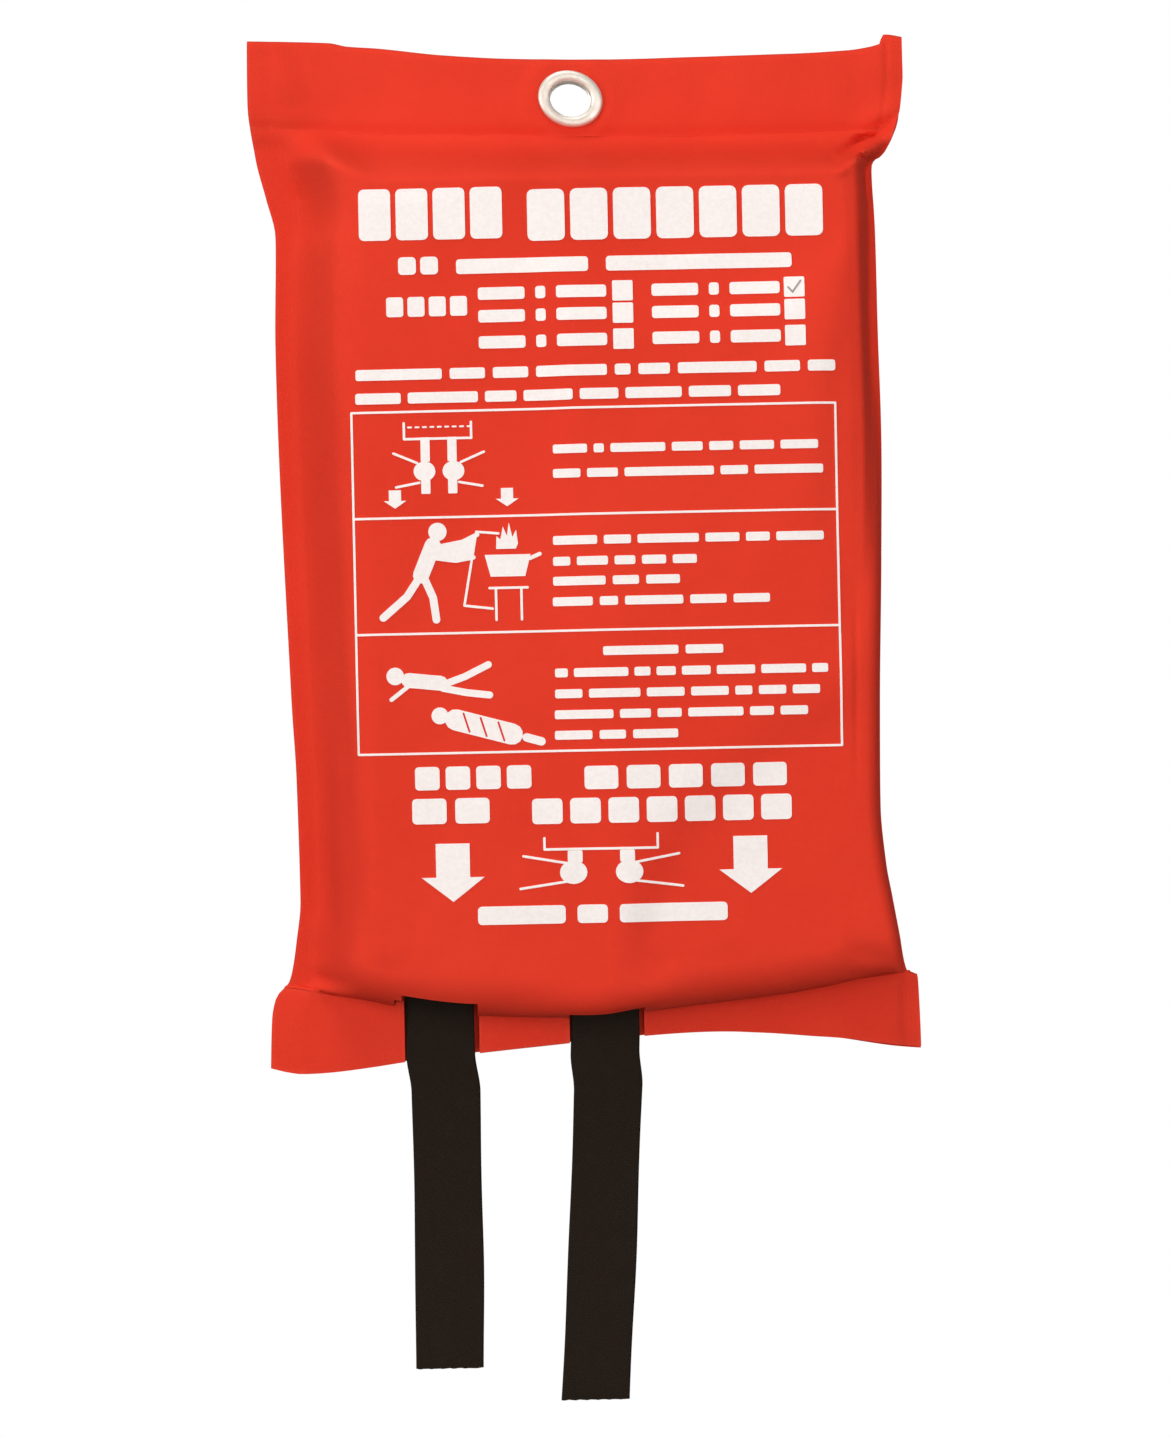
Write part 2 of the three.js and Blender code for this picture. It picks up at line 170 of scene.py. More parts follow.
def ripple(x, z, seed, wavelength, count=7):
    """A sum of waves in random directions, between about -1 and 1."""
    source = random.Random(seed)
    total = np.zeros(np.broadcast(x, z).shape)
    for _ in range(count):
        angle = source.uniform(0, math.pi)
        length = wavelength * source.uniform(0.7, 1.6)
        phase = source.uniform(0, 2 * math.pi)
        along = x * math.cos(angle) + z * math.sin(angle)
        total = total + np.sin(2 * np.pi * along / length + phase)
    return total / math.sqrt(2 * count)


# Outline of the pouch as seen from the front
left_edge = smooth(
    (150, -94.6), (131, -94.8), (115, -93), (103, -90.1), (92, -87.7), (60, -88.4), (-42, -85.9),
    (-65, -84.9), (-100, -84.5), (-112, -85.9), (-120, -87.2), (-123.4, -88.2), (-128, -92),
    (-134, -93.3), (-150, -94),
)
right_edge = smooth(
    (150, 94.6), (135, 94.6), (130, 94.2), (125, 93.5), (121, 92.5), (118, 91.4), (115, 90.1),
    (112.8, 88.8), (111.4, 87.2), (110.6, 85.4), (108, 85.2), (89, 85.8), (71, 86), (36, 86.3),
    (-5, 85.5), (-48, 84.2), (-76, 83.8), (-93, 85.1), (-102, 86.6), (-113.3, 88.5), (-123.9, 90.4),
    (-124.7, 93.7), (-147, 94.3), (-150, 94.3),
)
top_edge = smooth(
    (-95, 149), (-71, 148), (-66, 146.9), (-57, 146.1), (-39, 143.8), (-18, 142.3), (11, 141.6),
    (60, 142.1), (79, 142.8), (84, 143.4), (88.6, 144.6), (89.4, 147.2), (95, 146.3),
)
header_seam = smooth((-95, 123.5), (-82, 122.8), (-40, 120.4), (0, 119.3), (40, 118.8), (95, 118.8))
hem = smooth(
    (-94, -146.5), (-80, -150), (-52, -146.8), (0, -142.1), (34, -140.2), (66, -142.4),
    (87, -145.7), (94, -146.4),
)
bulge_low = smooth(
    (-92, -123.9), (-86, -124.5), (-68, -127.4), (-57, -130), (-33, -133.3), (-7, -134), (14, -132.9),
    (34, -131), (54, -128.8), (65, -127), (76, -124.4), (87, -123.4), (92, -123.5),
)


# ---- Meshes ----

def at(x, y, z):
    """Points from coordinates, each of them a table or one number."""
    return np.stack(np.broadcast_arrays(x, y, z), -1)


def make_object(name, shape, material, body=None, replaces=(), sharp=48):
    """A closed mesh from its shape, which is vertices in millimetres and faces. It is smooth but
    for edges sharper than an angle in degrees, and stands in for the CAD nodes it replaces."""
    vertices, faces = shape
    mesh = bpy.data.meshes.new(name)
    mesh.from_pydata((np.asarray(vertices, float) * MM).tolist(), [], faces)
    work = bmesh.new()
    work.from_mesh(mesh)
    bmesh.ops.recalc_face_normals(work, faces=work.faces)
    work.to_mesh(mesh)
    work.free()
    mesh.polygons.foreach_set("use_smooth", [True] * len(mesh.polygons))
    mesh.set_sharp_from_angle(angle=math.radians(sharp))
    mesh.materials.append(material)
    piece = bpy.data.objects.new(name, mesh)
    scene.collection.objects.link(piece)
    if body:
        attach(piece, body)
    if replaces:
        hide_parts(*replaces)
    return piece


def beside(grid):
    """The sum of the four neighbours of each value in a grid."""
    padded = np.pad(grid, ((1, 1), (1, 1), (0, 0)), mode="edge")
    return padded[2:, 1:-1] + padded[:-2, 1:-1] + padded[1:-1, 2:] + padded[1:-1, :-2]


def unit(vectors):
    return vectors / np.maximum(np.linalg.norm(vectors, axis=-1, keepdims=True), 1e-9)


def grid_normals(grid):
    """Unit normals of a grid of points, smoothed a little."""
    normals = np.cross(np.gradient(grid, axis=1), np.gradient(grid, axis=0))
    for _ in range(2):
        normals = unit(normals)
        normals = 2 * normals + beside(normals)
    return unit(normals)


def cells(number):
    """The numbers of the four corners of each cell in a grid."""
    return np.stack([number[:-1, :-1], number[:-1, 1:], number[1:, 1:], number[1:, :-1]], 2)


def block(front, back, keep=None):
    """A closed shape between two grids of points. keep says which cells of the grids are there;
    a missing cell leaves a hole or a notch."""
    rows, columns = front.shape[:2]
    if keep is None:
        keep = np.ones((rows - 1, columns - 1), bool)
    number = np.arange(rows * columns).reshape(rows, columns)
    far = rows * columns
    corners = cells(number)[keep]
    quads = [corners, corners[:, [0, 3, 2, 1]] + far]
    padded = np.pad(keep, 1)
    for start, end, at_edge in (
        (number[:, :-1], number[:, 1:], padded[:-1, 1:-1] != padded[1:, 1:-1]),
        (number[:-1, :], number[1:, :], padded[1:-1, :-1] != padded[1:-1, 1:]),
    ):
        p, q = start[at_edge], end[at_edge]
        quads.append(np.stack([p, q, q + far, p + far], 1))
    vertices = np.concatenate([front.reshape(-1, 3), back.reshape(-1, 3)])
    used, faces = np.unique(np.concatenate(quads), return_inverse=True)
    return vertices[used], faces.reshape(-1, 4).tolist()


def sheet(grid, keep=None, thickness=FABRIC):
    """A closed sheet of even thickness about a grid of points."""
    offset = grid_normals(grid) * thickness / 2
    return block(grid + offset, grid - offset, keep)


def ring_faces(rings, last_to_first=False):
    """The faces between rings of points, which may also go from the last ring to the first."""
    number = np.arange(rings[..., 0].size).reshape(rings.shape[:2])
    number = np.pad(number, ((0, int(last_to_first)), (0, 1)), mode="wrap")
    return cells(number).reshape(-1, 4).tolist()


def tube(rings):
    """A closed tube through rings of points, with flat ends."""
    rings = np.asarray(rings, float)
    count, around = rings.shape[:2]
    ends = [list(range(around))[::-1], list(range((count - 1) * around, count * around))]
    return rings.reshape(-1, 3), ring_faces(rings) + ends


def joined(shapes):
    """Several closed shapes as one."""
    vertices, faces, start = [], [], 0
    for shape_vertices, shape_faces in shapes:
        vertices.append(shape_vertices)
        faces += [[i + start for i in face] for face in shape_faces]
        start += len(shape_vertices)
    return np.concatenate(vertices), faces


def lathe(profile, centre, segments=96):
    """A closed ring turned about an axis along Y, from (radius, distance behind centre) points."""
    radius, behind = np.array(profile, float).T
    angle = np.linspace(0, 2 * np.pi, segments, endpoint=False)[:, None]
    x = centre[0] + radius * np.cos(angle)
    z = centre[2] + radius * np.sin(angle)
    rings = at(x, centre[1] + behind, z)
    return rings.reshape(-1, 3), ring_faces(rings, last_to_first=True)


def thread(points, radius, sides=6):
    """A closed round thread along a path, with tapered ends."""
    points = np.asarray(points, float)
    along = unit(np.gradient(points, axis=0))
    across = (0.0, 1.0, 0.0) if abs(along[0][1]) < 0.8 else (1.0, 0.0, 0.0)
    side = unit(np.cross(along, across))
    up = np.cross(side, along)
    reach = np.full((len(points), 1, 1), radius)
    reach[[0, -1]] *= 0.35
    angle = np.linspace(0, 2 * np.pi, sides, endpoint=False)[:, None]
    round_path = np.cos(angle) * side[:, None] + np.sin(angle) * up[:, None]
    return tube(points[:, None] + reach * round_path)


# ---- Materials ----

def srgb(red, green, blue):
    """A colour given as 0 to 255 values, in linear light."""
    channels = [c / 255 for c in (red, green, blue)]
    linear = [c / 12.92 if c < 0.04045 else ((c + 0.055) / 1.055) ** 2.4 for c in channels]
    return (*linear, 1.0)


class Nodes:
    """A node tree being put together."""

    def __init__(self, tree):
        self.tree = tree

    def feed(self, socket, value):
        """Links an output to an input, or sets the input to a plain value."""
        if isinstance(value, bpy.types.NodeSocket):
            self.tree.links.new(value, socket)
        else:
            socket.default_value = value

    def node(self, kind, inputs=(), **settings):
        """A new node with its settings made and its inputs fed."""
        made = self.tree.nodes.new("ShaderNode" + kind)
        for key, value in settings.items():
            setattr(made, key, value)
        for key, value in dict(inputs).items():
            self.feed(made.inputs[key], value)
        return made

    def span(self, value, from_low, from_high, to_low, to_high):
        """A value carried from one range to another, and held within it."""
        inputs = {"From Min": from_low, "From Max": from_high, "To Min": to_low, "To Max": to_high}
        return self.node("MapRange", {"Value": value, **inputs}).outputs["Result"]


class Shader(Nodes):
    """A material being put together around one Principled shader."""

    def __init__(self, name):
        self.material = bpy.data.materials.new(name)
        self.material.use_nodes = True
        super().__init__(self.material.node_tree)
        self.surface = self.tree.nodes["Principled BSDF"]
        self.place = self.node("TexCoord").outputs["Object"]

    def noise(self, scale, detail=3.0, roughness=0.55):
        inputs = {"Scale": scale, "Detail": detail, "Roughness": roughness, "Vector": self.place}
        return self.node("TexNoise", inputs).outputs["Fac"]

    def wave(self, direction, pitch, distortion):
        """Even bands across one direction, a pitch in metres apart."""
        inputs = {"Scale": 2 * math.pi / 20 / pitch, "Distortion": distortion, "Detail": 1.0}
        inputs.update({"Detail Scale": 0.4, "Vector": self.place})
        return self.node("TexWave", inputs, bands_direction=direction).outputs["Fac"]

    def math(self, operation, first, second):
        return self.node("Math", {0: first, 1: second}, operation=operation).outputs[0]

    def weave(self, pitch, distortion):
        """A plain weave of two sets of yarns, a pitch in metres apart."""
        across, along = (self.wave(direction, pitch, distortion) for direction in "XZ")
        return self.math("MULTIPLY", across, along)

    def mix(self, share, first, second):
        """A colour between two colours."""
        return self.node("Mix", {"Factor": share, 6: first, 7: second}, data_type="RGBA").outputs[2]

    def edges(self):
        """High along the mesh's outer edges and folds."""
        return self.node("NewGeometry").outputs["Pointiness"]

    def relief(self, height, distance, strength=1.0, below=None):
        """A bump height in metres, laid over another relief."""
        inputs = {"Distance": distance, "Strength": strength, "Height": height}
        if below is not None:
            inputs["Normal"] = below
        return self.node("Bump", inputs).outputs["Normal"]

    def finish(self, **values):
        names = {"color": "Base Color", "sheen": "Sheen Weight", "specular": "Specular IOR Level"}
        for key, value in values.items():
            self.feed(self.surface.inputs[names.get(key, key.title())], value)
        return self.material


FABRIC_WEAVE = 0.00062  # metres between yarns


def red_fabric():
    """Coated polyester: a fine plain weave under a satin coat, with soft tone changes."""
    s = Shader("red_coated_fabric")
    clouds = s.noise(14, 4)
    grain = s.noise(420, 2)
    weave = s.weave(FABRIC_WEAVE, 0.4)
    tone = s.mix(s.span(clouds, 0.3, 0.7, 0, 1), srgb(225, 58, 39), srgb(233, 64, 44))
    tone = s.mix(s.span(weave, 0, 1, 0.08, 0), tone, srgb(182, 34, 24))
    worn = s.math("MULTIPLY", s.span(s.edges(), 0.54, 0.62, 0, 0.2), s.span(grain, 0.4, 0.6, 0.3, 1))
    tone = s.mix(worn, tone, srgb(236, 104, 84))
    soft = s.relief(s.noise(95, 3), 0.0006, 0.35)
    fine = s.relief(weave, 0.00009, 0.5, below=soft)
    rough = s.span(clouds, 0.3, 0.7, 0.58, 0.7)
    return s.finish(color=tone, roughness=rough, normal=fine, specular=0.03)


def ink():
    """Screen-printed white ink that lets a little of the weave through."""
    s = Shader("white_ink")
    weave = s.weave(FABRIC_WEAVE, 0.4)
    tone = s.mix(s.span(s.noise(900, 2), 0.35, 0.7, 0, 1), srgb(252, 244, 240), srgb(248, 237, 232))
    tone = s.mix(s.span(weave, 0.0, 0.2, 0.05, 0), tone, srgb(232, 176, 164))
    return s.finish(color=tone, roughness=0.6, normal=s.relief(weave, 0.00006, 0.5), specular=0.3)


def grey_ink():
    s = Shader("grey_ink")
    tone = s.mix(s.noise(700), srgb(150, 140, 138), srgb(176, 166, 162))
    return s.finish(color=tone, roughness=0.65, specular=0.25)


def webbing(name, dark, light):
    """Woven polypropylene tape: ribs of yarn with a dull shine."""
    s = Shader(name)
    yarn = s.wave("DIAGONAL", 0.00045, 1.5)
    dust = s.noise(160, 4)
    tone = s.mix(s.span(yarn, 0, 1, 0, 0.6), dark, light)
    tone = s.mix(s.span(dust, 0.5, 0.85, 0, 0.5), tone, light)
    height = s.math("ADD", s.math("MULTIPLY", yarn, 0.6), s.math("MULTIPLY", s.noise(1500), 0.5))
    rough = s.span(dust, 0.3, 0.8, 0.62, 0.8)
    normal = s.relief(height, 0.00012, 0.7)
    return s.finish(color=tone, roughness=rough, normal=normal, sheen=0.03, specular=0.12)


def glass_cloth():
    """Woven glass fibre: off-white yarn with a silky shine and a plain weave."""
    s = Shader("glass_fibre_cloth")
    weave = s.weave(0.0011, 0.6)
    tone = s.mix(s.span(weave, 0, 1, 0, 1), srgb(196, 190, 172), srgb(240, 236, 224))
    tone = s.mix(s.span(s.noise(22, 4), 0.4, 0.75, 0, 0.35), tone, srgb(214, 204, 180))
    rough = s.span(weave, 0, 1, 0.7, 0.45)
    normal = s.relief(weave, 0.0003, 0.8, below=s.relief(s.noise(60, 3), 0.0015, 0.4))
    return s.finish(color=tone, roughness=rough, normal=normal, sheen=0.25, specular=0.5)


def twisted_thread(name, dark, light):
    s = Shader(name)
    strand = s.wave("DIAGONAL", 0.0004, 0.5)
    tone = s.mix(strand, dark, light)
    return s.finish(color=tone, roughness=0.6, normal=s.relief(strand, 0.0001, 0.8), sheen=0.2)


def nickel():
    """Bright plated steel, with fine scratches and a slightly warm tone."""
    s = Shader("nickel_plate")
    smear = s.noise(240, 3)
    tone = s.mix(s.span(smear, 0.35, 0.7, 0, 1), srgb(240, 233, 220), srgb(222, 212, 198))
    rough = s.span(smear, 0.3, 0.7, 0.4, 0.52)
    scratched = s.relief(s.noise(2600, 5, 0.7), 0.00002, 0.4)
    return s.finish(color=tone, metallic=0.6, roughness=rough, normal=scratched)


def hook_and_loop(name, dark, light):
    s = Shader(name)
    fuzz = s.noise(1300, 5, 0.7)
    tone = s.mix(s.span(fuzz, 0.35, 0.65, 0, 1), dark, light)
    return s.finish(color=tone, roughness=0.95, normal=s.relief(fuzz, 0.0004, 0.9), sheen=0.5)


RED = red_fabric()
INK = ink()
TICK_INK = grey_ink()
BLACK_WEBBING = webbing("black_webbing", srgb(20, 11, 4), srgb(40, 27, 15))
GLASS_CLOTH = glass_cloth()
WHITE_THREAD = twisted_thread("white_thread", srgb(206, 200, 188), srgb(246, 243, 234))
BLACK_THREAD = twisted_thread("black_thread", srgb(70, 60, 54), srgb(112, 100, 92))
NICKEL = nickel()
LOOP_PILE = hook_and_loop("loop_pile", srgb(120, 18, 14), srgb(190, 44, 34))
HOOK_TAPE = hook_and_loop("hook_tape", srgb(140, 22, 16), srgb(186, 40, 30))


# ---- The front sheet ----

BULGE_DEPTH = FLANGE_Y - BULGE_FRONT_Y
CROWN = 1.1  # extra fullness in the middle of the face
FULL_Z = 105.5  # the bulge has its full depth below this, apart from its left corner
CORNER_RISE = 8  # how much higher the left corner of the bulge stands
WALL_INSET = 3.5  # how much less the left wall flares below the header than the edge does
SHOULDER_LOW = 98  # the sheet's rows are closer together above this
BEND_RADIUS = 11  # of the lower front edge
FOLD_RADIUS = 0.8  # of the crease above the footer
BAND_TUCK = 3.2  # how far the front sheet reaches up inside the header

left_slope = smooth((0, 0), (3.5, 0), (8, 0.2), (14, 0.66), (19, 0.93), (25, 1))
right_wall = smooth((0, 0), (1.8, 0.03), (4.6, 0.7), (6.0, 0.96), (9.0, 1))
right_slope = smooth((0, 0), (0.6, 0.1), (1.8, 0.72), (2.6, 0.92), (4.2, 0.985), (8, 1))

# The header's two faces and the back sheet turn forward by these shares of flip(), so that the
# layers stay behind each other.
HEADER_FLIP = 0.85
REAR_FLIP = 0.8
BACK_FLIP = 0.9


def flip(x, z):
    """How far the side flange turns forward below the header's right end."""
    forward = 5.5 * ease(x, 80, 92) * bump(z, 116, 8.5)
    return np.maximum(forward - 5.0 * ridge(x, z, (94, 123.4), (79, 114.6), 1.9), 0)


def corner_dents(x, z):
    """Forward relief of the gathered upper corners of the bulge: a soft hollow beside the left
    corner, and on the right a sharp fold that runs up to the header's end, with a hollow."""
    left = (-1.2, (-84, 114), (-80, 100), 2.4)
    fold = (4.0, (90.4, 116.8), (75.4, 105.2), 1.7)
    hollow = (-5.4, (91, 121.4), (72.6, 110.4), 1.9)
    return ridges(x, z, left, fold, hollow)


def lower_dents(x, z):
    """Forward relief of the gathered lower corners and of the pull of the tapes."""
    left = [(-2.4, (-86, -122), (-70, -123.6), 2.3), (1.0, (-84, -112), (-70, -100), 4)]
    right = [(-1.2, (88, -119), (70, -116), 3.5)]
    above_tapes = [(-0.8, (-56, -124), (-60, -104), 5), (-0.6, (16, -126), (20, -110), 5)]
    return ridges(x, z, *left, *right, *above_tapes)


def folds(x, z):
    """Soft upright folds beside the edges and slow waves over the face."""
    beside_left = [(0.9, (-80, 70), (-77, -70), 2.6), (-0.7, (-73, 40), (-71, -96), 3)]
    beside_right = [(-0.5, (80, 58), (79, -10), 2.4), (-0.6, (77.5, -10), (76.4, -72), 0.9)]
    upright = ridges(x, z, *beside_left, *beside_right)
    return upright + 0.35 * ripple(x, z, 3, 70) + 0.14 * ripple(x, z, 4, 24)


def full_height(x):
    """The height below which the bulge has its full depth."""
    return FULL_Z + CORNER_RISE * (1 - ease(x, -76, -57))


def across_share(x, z):
    """The share of the bulge's depth at a place, from its distance to the two edges."""
    from_left = x - left_edge(z) - WALL_INSET * ease(z, 84, 105)
    from_right = right_edge(z) - x
    wall = lerp(right_slope(from_right), right_wall(from_right), ease(z, -20, 60))
    return left_slope(from_left) * wall


def seam_crease(x, z):
    """The pressed weld lines beside the two edges."""
    return bump(x - left_edge(z), 6.3, 0.9) + bump(right_edge(z) - x, 4.6, 0.9)


def tab_y(x, z):
    """The footer's front layer, which meets the back sheet at the two ends."""
    inset = np.minimum(x - left_edge(z), right_edge(z) - x)
    level = lerp(FLANGE_Y, TAB_Y, ease(inset, 0, 9))
    curl = 1.1 * ease(-z, 139, 146) * bump(x, -20, 26) + 0.5 * bump(x, 46, 3) * ease(-z, 128, 138)
    return level - curl + 0.35 * seam_crease(x, z) - 0.22 * ripple(x, z, 12, 26)


# The sheet is a grid: its columns are places across the pouch, and each row is a step along a
# path that runs down the face, round the lower edge, back under it and down the footer.
PATH = (  # segments and their numbers of rows
    ("tuck", 4),
    ("shoulder", 34),
    ("face", 100),
    ("bend", 12),
    ("floor", 12),
    ("fold", 6),
    ("tab", 14),
)
STRAIGHT_HALF = 62  # columns nearer the middle than this stand upright
EDGE_COLUMN = 88  # and the outermost columns follow the pouch's edges


def front_columns(spacing):
    """Places across the sheet, closer together over the right wall, with the notches' edges."""
    stops = [-EDGE_COLUMN, -66]
    for tape in TAPES.values():
        left_side = tape["top_x"] - NOTCH_HALF
        if tape["nick"]:
            stops.append(left_side - tape["nick"])
        stops += [left_side, left_side + 2 * NOTCH_HALF]
    stops += [66, 76, EDGE_COLUMN]
    scale = [1.0] * (len(stops) - 3) + [0.6, 0.42]
    columns = []
    for (start, end), finer in zip(zip(stops, stops[1:]), scale):
        count = max(2, round((end - start) / spacing / finer))
        columns += list(np.linspace(start, end, count, endpoint=False))
    return np.array(columns + [stops[-1]])


def stretched(column, z):
    """A column's place at a height: the outer columns spread out to the edges."""
    outer = np.clip((np.abs(column) - STRAIGHT_HALF) / (EDGE_COLUMN - STRAIGHT_HALF), 0, 1)
    edge = np.where(column < 0, left_edge(z), right_edge(z))
    inner = np.clip(column, -STRAIGHT_HALF, STRAIGHT_HALF)
    return lerp(inner, edge, outer)


def face_point(column, z):
    """The shoulder and the face of the bulge at a height."""
    x = stretched(column, z)
    seam = header_seam(column)
    share = across_share(x, z) * ease(z, seam + 1, full_height(x) - 1.5) ** 0.8
    base = lerp(TUCK_Y, FLANGE_Y, ease(z, seam, seam - 6))
    full = BULGE_DEPTH + CROWN * bump(x, 0, 60) * bump(z, 0, 90)
    inset = np.minimum(x - left_edge(z), right_edge(z) - x)
    loose = ease(inset, 0, 3) * ease(seam - z, 0, 2)
    dents = (corner_dents(x, z) + lower_dents(x, z)) * loose
    relief = dents + folds(x, z) * np.clip(share * 1.6, 0, 1)
    pressed = 0.25 * seam_crease(x, z) * (1 - share)
    return at(x, base - full * share - relief + pressed - flip(x, z), z)


def front_point(segment, t, column):
    """The sheet's middle surface at a step along one segment of its path."""
    seam = header_seam(column)
    lowest = bulge_low(column)
    bend_z = lowest + BEND_RADIUS
    if segment == "tuck":
        z = seam + BAND_TUCK * (1 - t)
        x = stretched(column, z)
        return at(x, TUCK_Y - lerp(HEADER_FLIP, 1, t) * flip(x, z), z)
    if segment == "shoulder":
        return face_point(column, lerp(seam, SHOULDER_LOW, t))
    if segment == "face":
        return face_point(column, lerp(SHOULDER_LOW, bend_z, t))
    if segment == "bend":
        angle = t * np.pi / 2
        start_x, start_y, start_z = front_point("face", 1.0, column).T
        z = lowest + BEND_RADIUS * (1 - np.sin(angle))
        x = stretched(column, z)
        back = BEND_RADIUS * (1 - np.cos(angle)) * across_share(start_x, bend_z)
        return at(x, start_y + back - lower_dents(x, z) + lower_dents(start_x, start_z), z)
    crease = np.maximum(CREASE_Z, lowest - 0.8)
    fold = FOLD_RADIUS * np.clip((crease - lowest) / 3, 0.12, 1)
    if segment == "floor":
        start_y = front_point("bend", 1.0, column)[..., 1]
        z = lerp(lowest, crease, t * t)
        x = stretched(column, z)
        return at(x, lerp(start_y, tab_y(x, crease) - 2 * fold, t), z)
    if segment == "fold":
        x = stretched(column, crease)
        angle = np.pi * (1 - t)
        y = tab_y(x, crease) - fold + fold * np.cos(angle)
        return at(x, y, crease + fold * np.sin(angle))
    z = lerp(crease, hem(column), t)
    x = stretched(column, z)
    return at(x, tab_y(x, z), z)


def front_grid(columns, finer=1.0):
    """The sheet's points in rows down its path, and the segment that each row belongs to."""
    rows, segments = [], []
    for segment, count in PATH:
        steps = max(2, round(count * finer))
        for step in range(steps + (segment == PATH[-1][0])):
            rows.append(front_point(segment, step / steps, columns))
            segments.append(segment)
    return np.array(rows), segments


SIMULATED_SIZE = 10  # the simulation runs at ten times the real size, where its margins suit cloth
SIMULATED_STEPS = 18
SIMULATED_MARGIN = 0.004
LOOSE_LEFT, LOOSE_RIGHT = -83, 85  # the cloth is held outside these columns
MOST_SETTLING = 1.3  # millimetres
CLOTH = {
    "vertex_group_mass": "held",
    "quality": 6,
    "mass": 0.25,
    "tension_stiffness": 25,
    "compression_stiffness": 25,
    "shear_stiffness": 12,
    "bending_stiffness": 0.35,
    "air_damping": 3,
    "shrink_min": -0.016,
    "use_pressure": True,
    "uniform_pressure_force": 0.6,
}


def settle(grid, segments, columns):
    """Lets the sheet crease like cloth between its seams, by a short cloth simulation over the
    pack, and returns how far each point moved."""
    def simulated(name, vertices, faces):
        mesh = bpy.data.meshes.new(name)
        mesh.from_pydata((np.array(vertices) * MM * SIMULATED_SIZE).tolist(), [], faces)
        made = bpy.data.objects.new(name, mesh)
        scene.collection.objects.link(made)
        return made

    number = np.arange(grid[..., 0].size).reshape(grid.shape[:2])
    outward = cells(number)[..., ::-1].reshape(-1, 4).tolist()
    cloth_object = simulated("settling_sheet", grid.reshape(-1, 3), outward)
    free_rows = np.isin(segments, ("shoulder", "face", "bend"))
    free_columns = (columns >= LOOSE_LEFT) & (columns <= LOOSE_RIGHT)
    held = number[~np.outer(free_rows, free_columns)].tolist()
    cloth_object.vertex_groups.new(name="held").add(held, 1.0, "ADD")
    pack_x = (PACK_LOW.x + 6, PACK_HIGH.x - 1)
    pack_y = (PACK_LOW.y + 0.4, PACK_HIGH.y)
    pack_z = (PACK_LOW.z + 2, PACK_HIGH.z - 6)
    corners = [(x, y, z) for z in pack_z for y in pack_y for x in pack_x]
    box_faces = [(0, 1, 3, 2), (4, 6, 7, 5), (0, 4, 5, 1), (2, 3, 7, 6), (0, 2, 6, 4), (1, 5, 7, 3)]
    pack_object = simulated("settling_pack", corners, box_faces)
    pack_object.modifiers.new("collision", "COLLISION")
    pack_object.collision.thickness_outer = SIMULATED_MARGIN
    modifier = cloth_object.modifiers.new("cloth", "CLOTH")
    for key, value in CLOTH.items():
        setattr(modifier.settings, key, value)
    modifier.settings.effector_weights.gravity = 0.25
    modifier.collision_settings.distance_min = SIMULATED_MARGIN
    modifier.point_cache.frame_start = 1
    modifier.point_cache.frame_end = SIMULATED_STEPS
    for step in range(SIMULATED_STEPS):
        scene.frame_set(step + 1)
    settled = cloth_object.evaluated_get(bpy.context.evaluated_depsgraph_get())
    points = np.array([v.co for v in settled.data.vertices]).reshape(grid.shape)
    scene.frame_set(1)
    for helper in (cloth_object, pack_object):
        bpy.data.objects.remove(helper)
    moved = points / (MM * SIMULATED_SIZE) - grid
    length = np.maximum(np.linalg.norm(moved, axis=2, keepdims=True), 1e-9)
    return moved * np.minimum(1, MOST_SETTLING / length)


def resampled(values, row_places, column_places):
    """A grid of values read at fractional rows and columns."""
    def along_axis(table, places, axis):
        first = np.clip(np.floor(places).astype(int), 0, table.shape[axis] - 2)
        share = (places - first).reshape([-1 if k == axis else 1 for k in range(table.ndim)])
        return np.take(table, first, axis) * (1 - share) + np.take(table, first + 1, axis) * share
    return along_axis(along_axis(values, row_places, 0), column_places, 1)


def softened(grid):
    """A grid of movements averaged twice with its neighbours."""
    for _ in range(2):
        grid = (grid * 2 + beside(grid)) / 6
    return grid


def clear_of_pack(x, z):
    """The rearmost place for the front sheet, which is kept off the wall and off the pack."""
    inset = PACK_HIGH.x - np.abs(x)
    left = np.clip(inset / LEFT_ROUNDING, 0, 1) ** 0.5
    right = np.clip(inset / RIGHT_ROUNDING, 0, 1) ** 0.25
    depth = np.where(x < 0, left, right)
    depth = depth * ease(z, PACK_LOW.z, PACK_LOW.z + LOWER_ROUNDING)
    depth = depth * ease(-z, -PACK_HIGH.z, -PACK_HIGH.z + UPPER_ROUNDING + 2)
    pack_y = lerp(PACK_HIGH.y, PACK_LOW.y, depth)
    return np.where(depth > 0, np.minimum(FLANGE_Y, pack_y - FABRIC / 2 - 0.3), FLANGE_Y)


SPACING = 1.7  # millimetres between columns of the front sheet


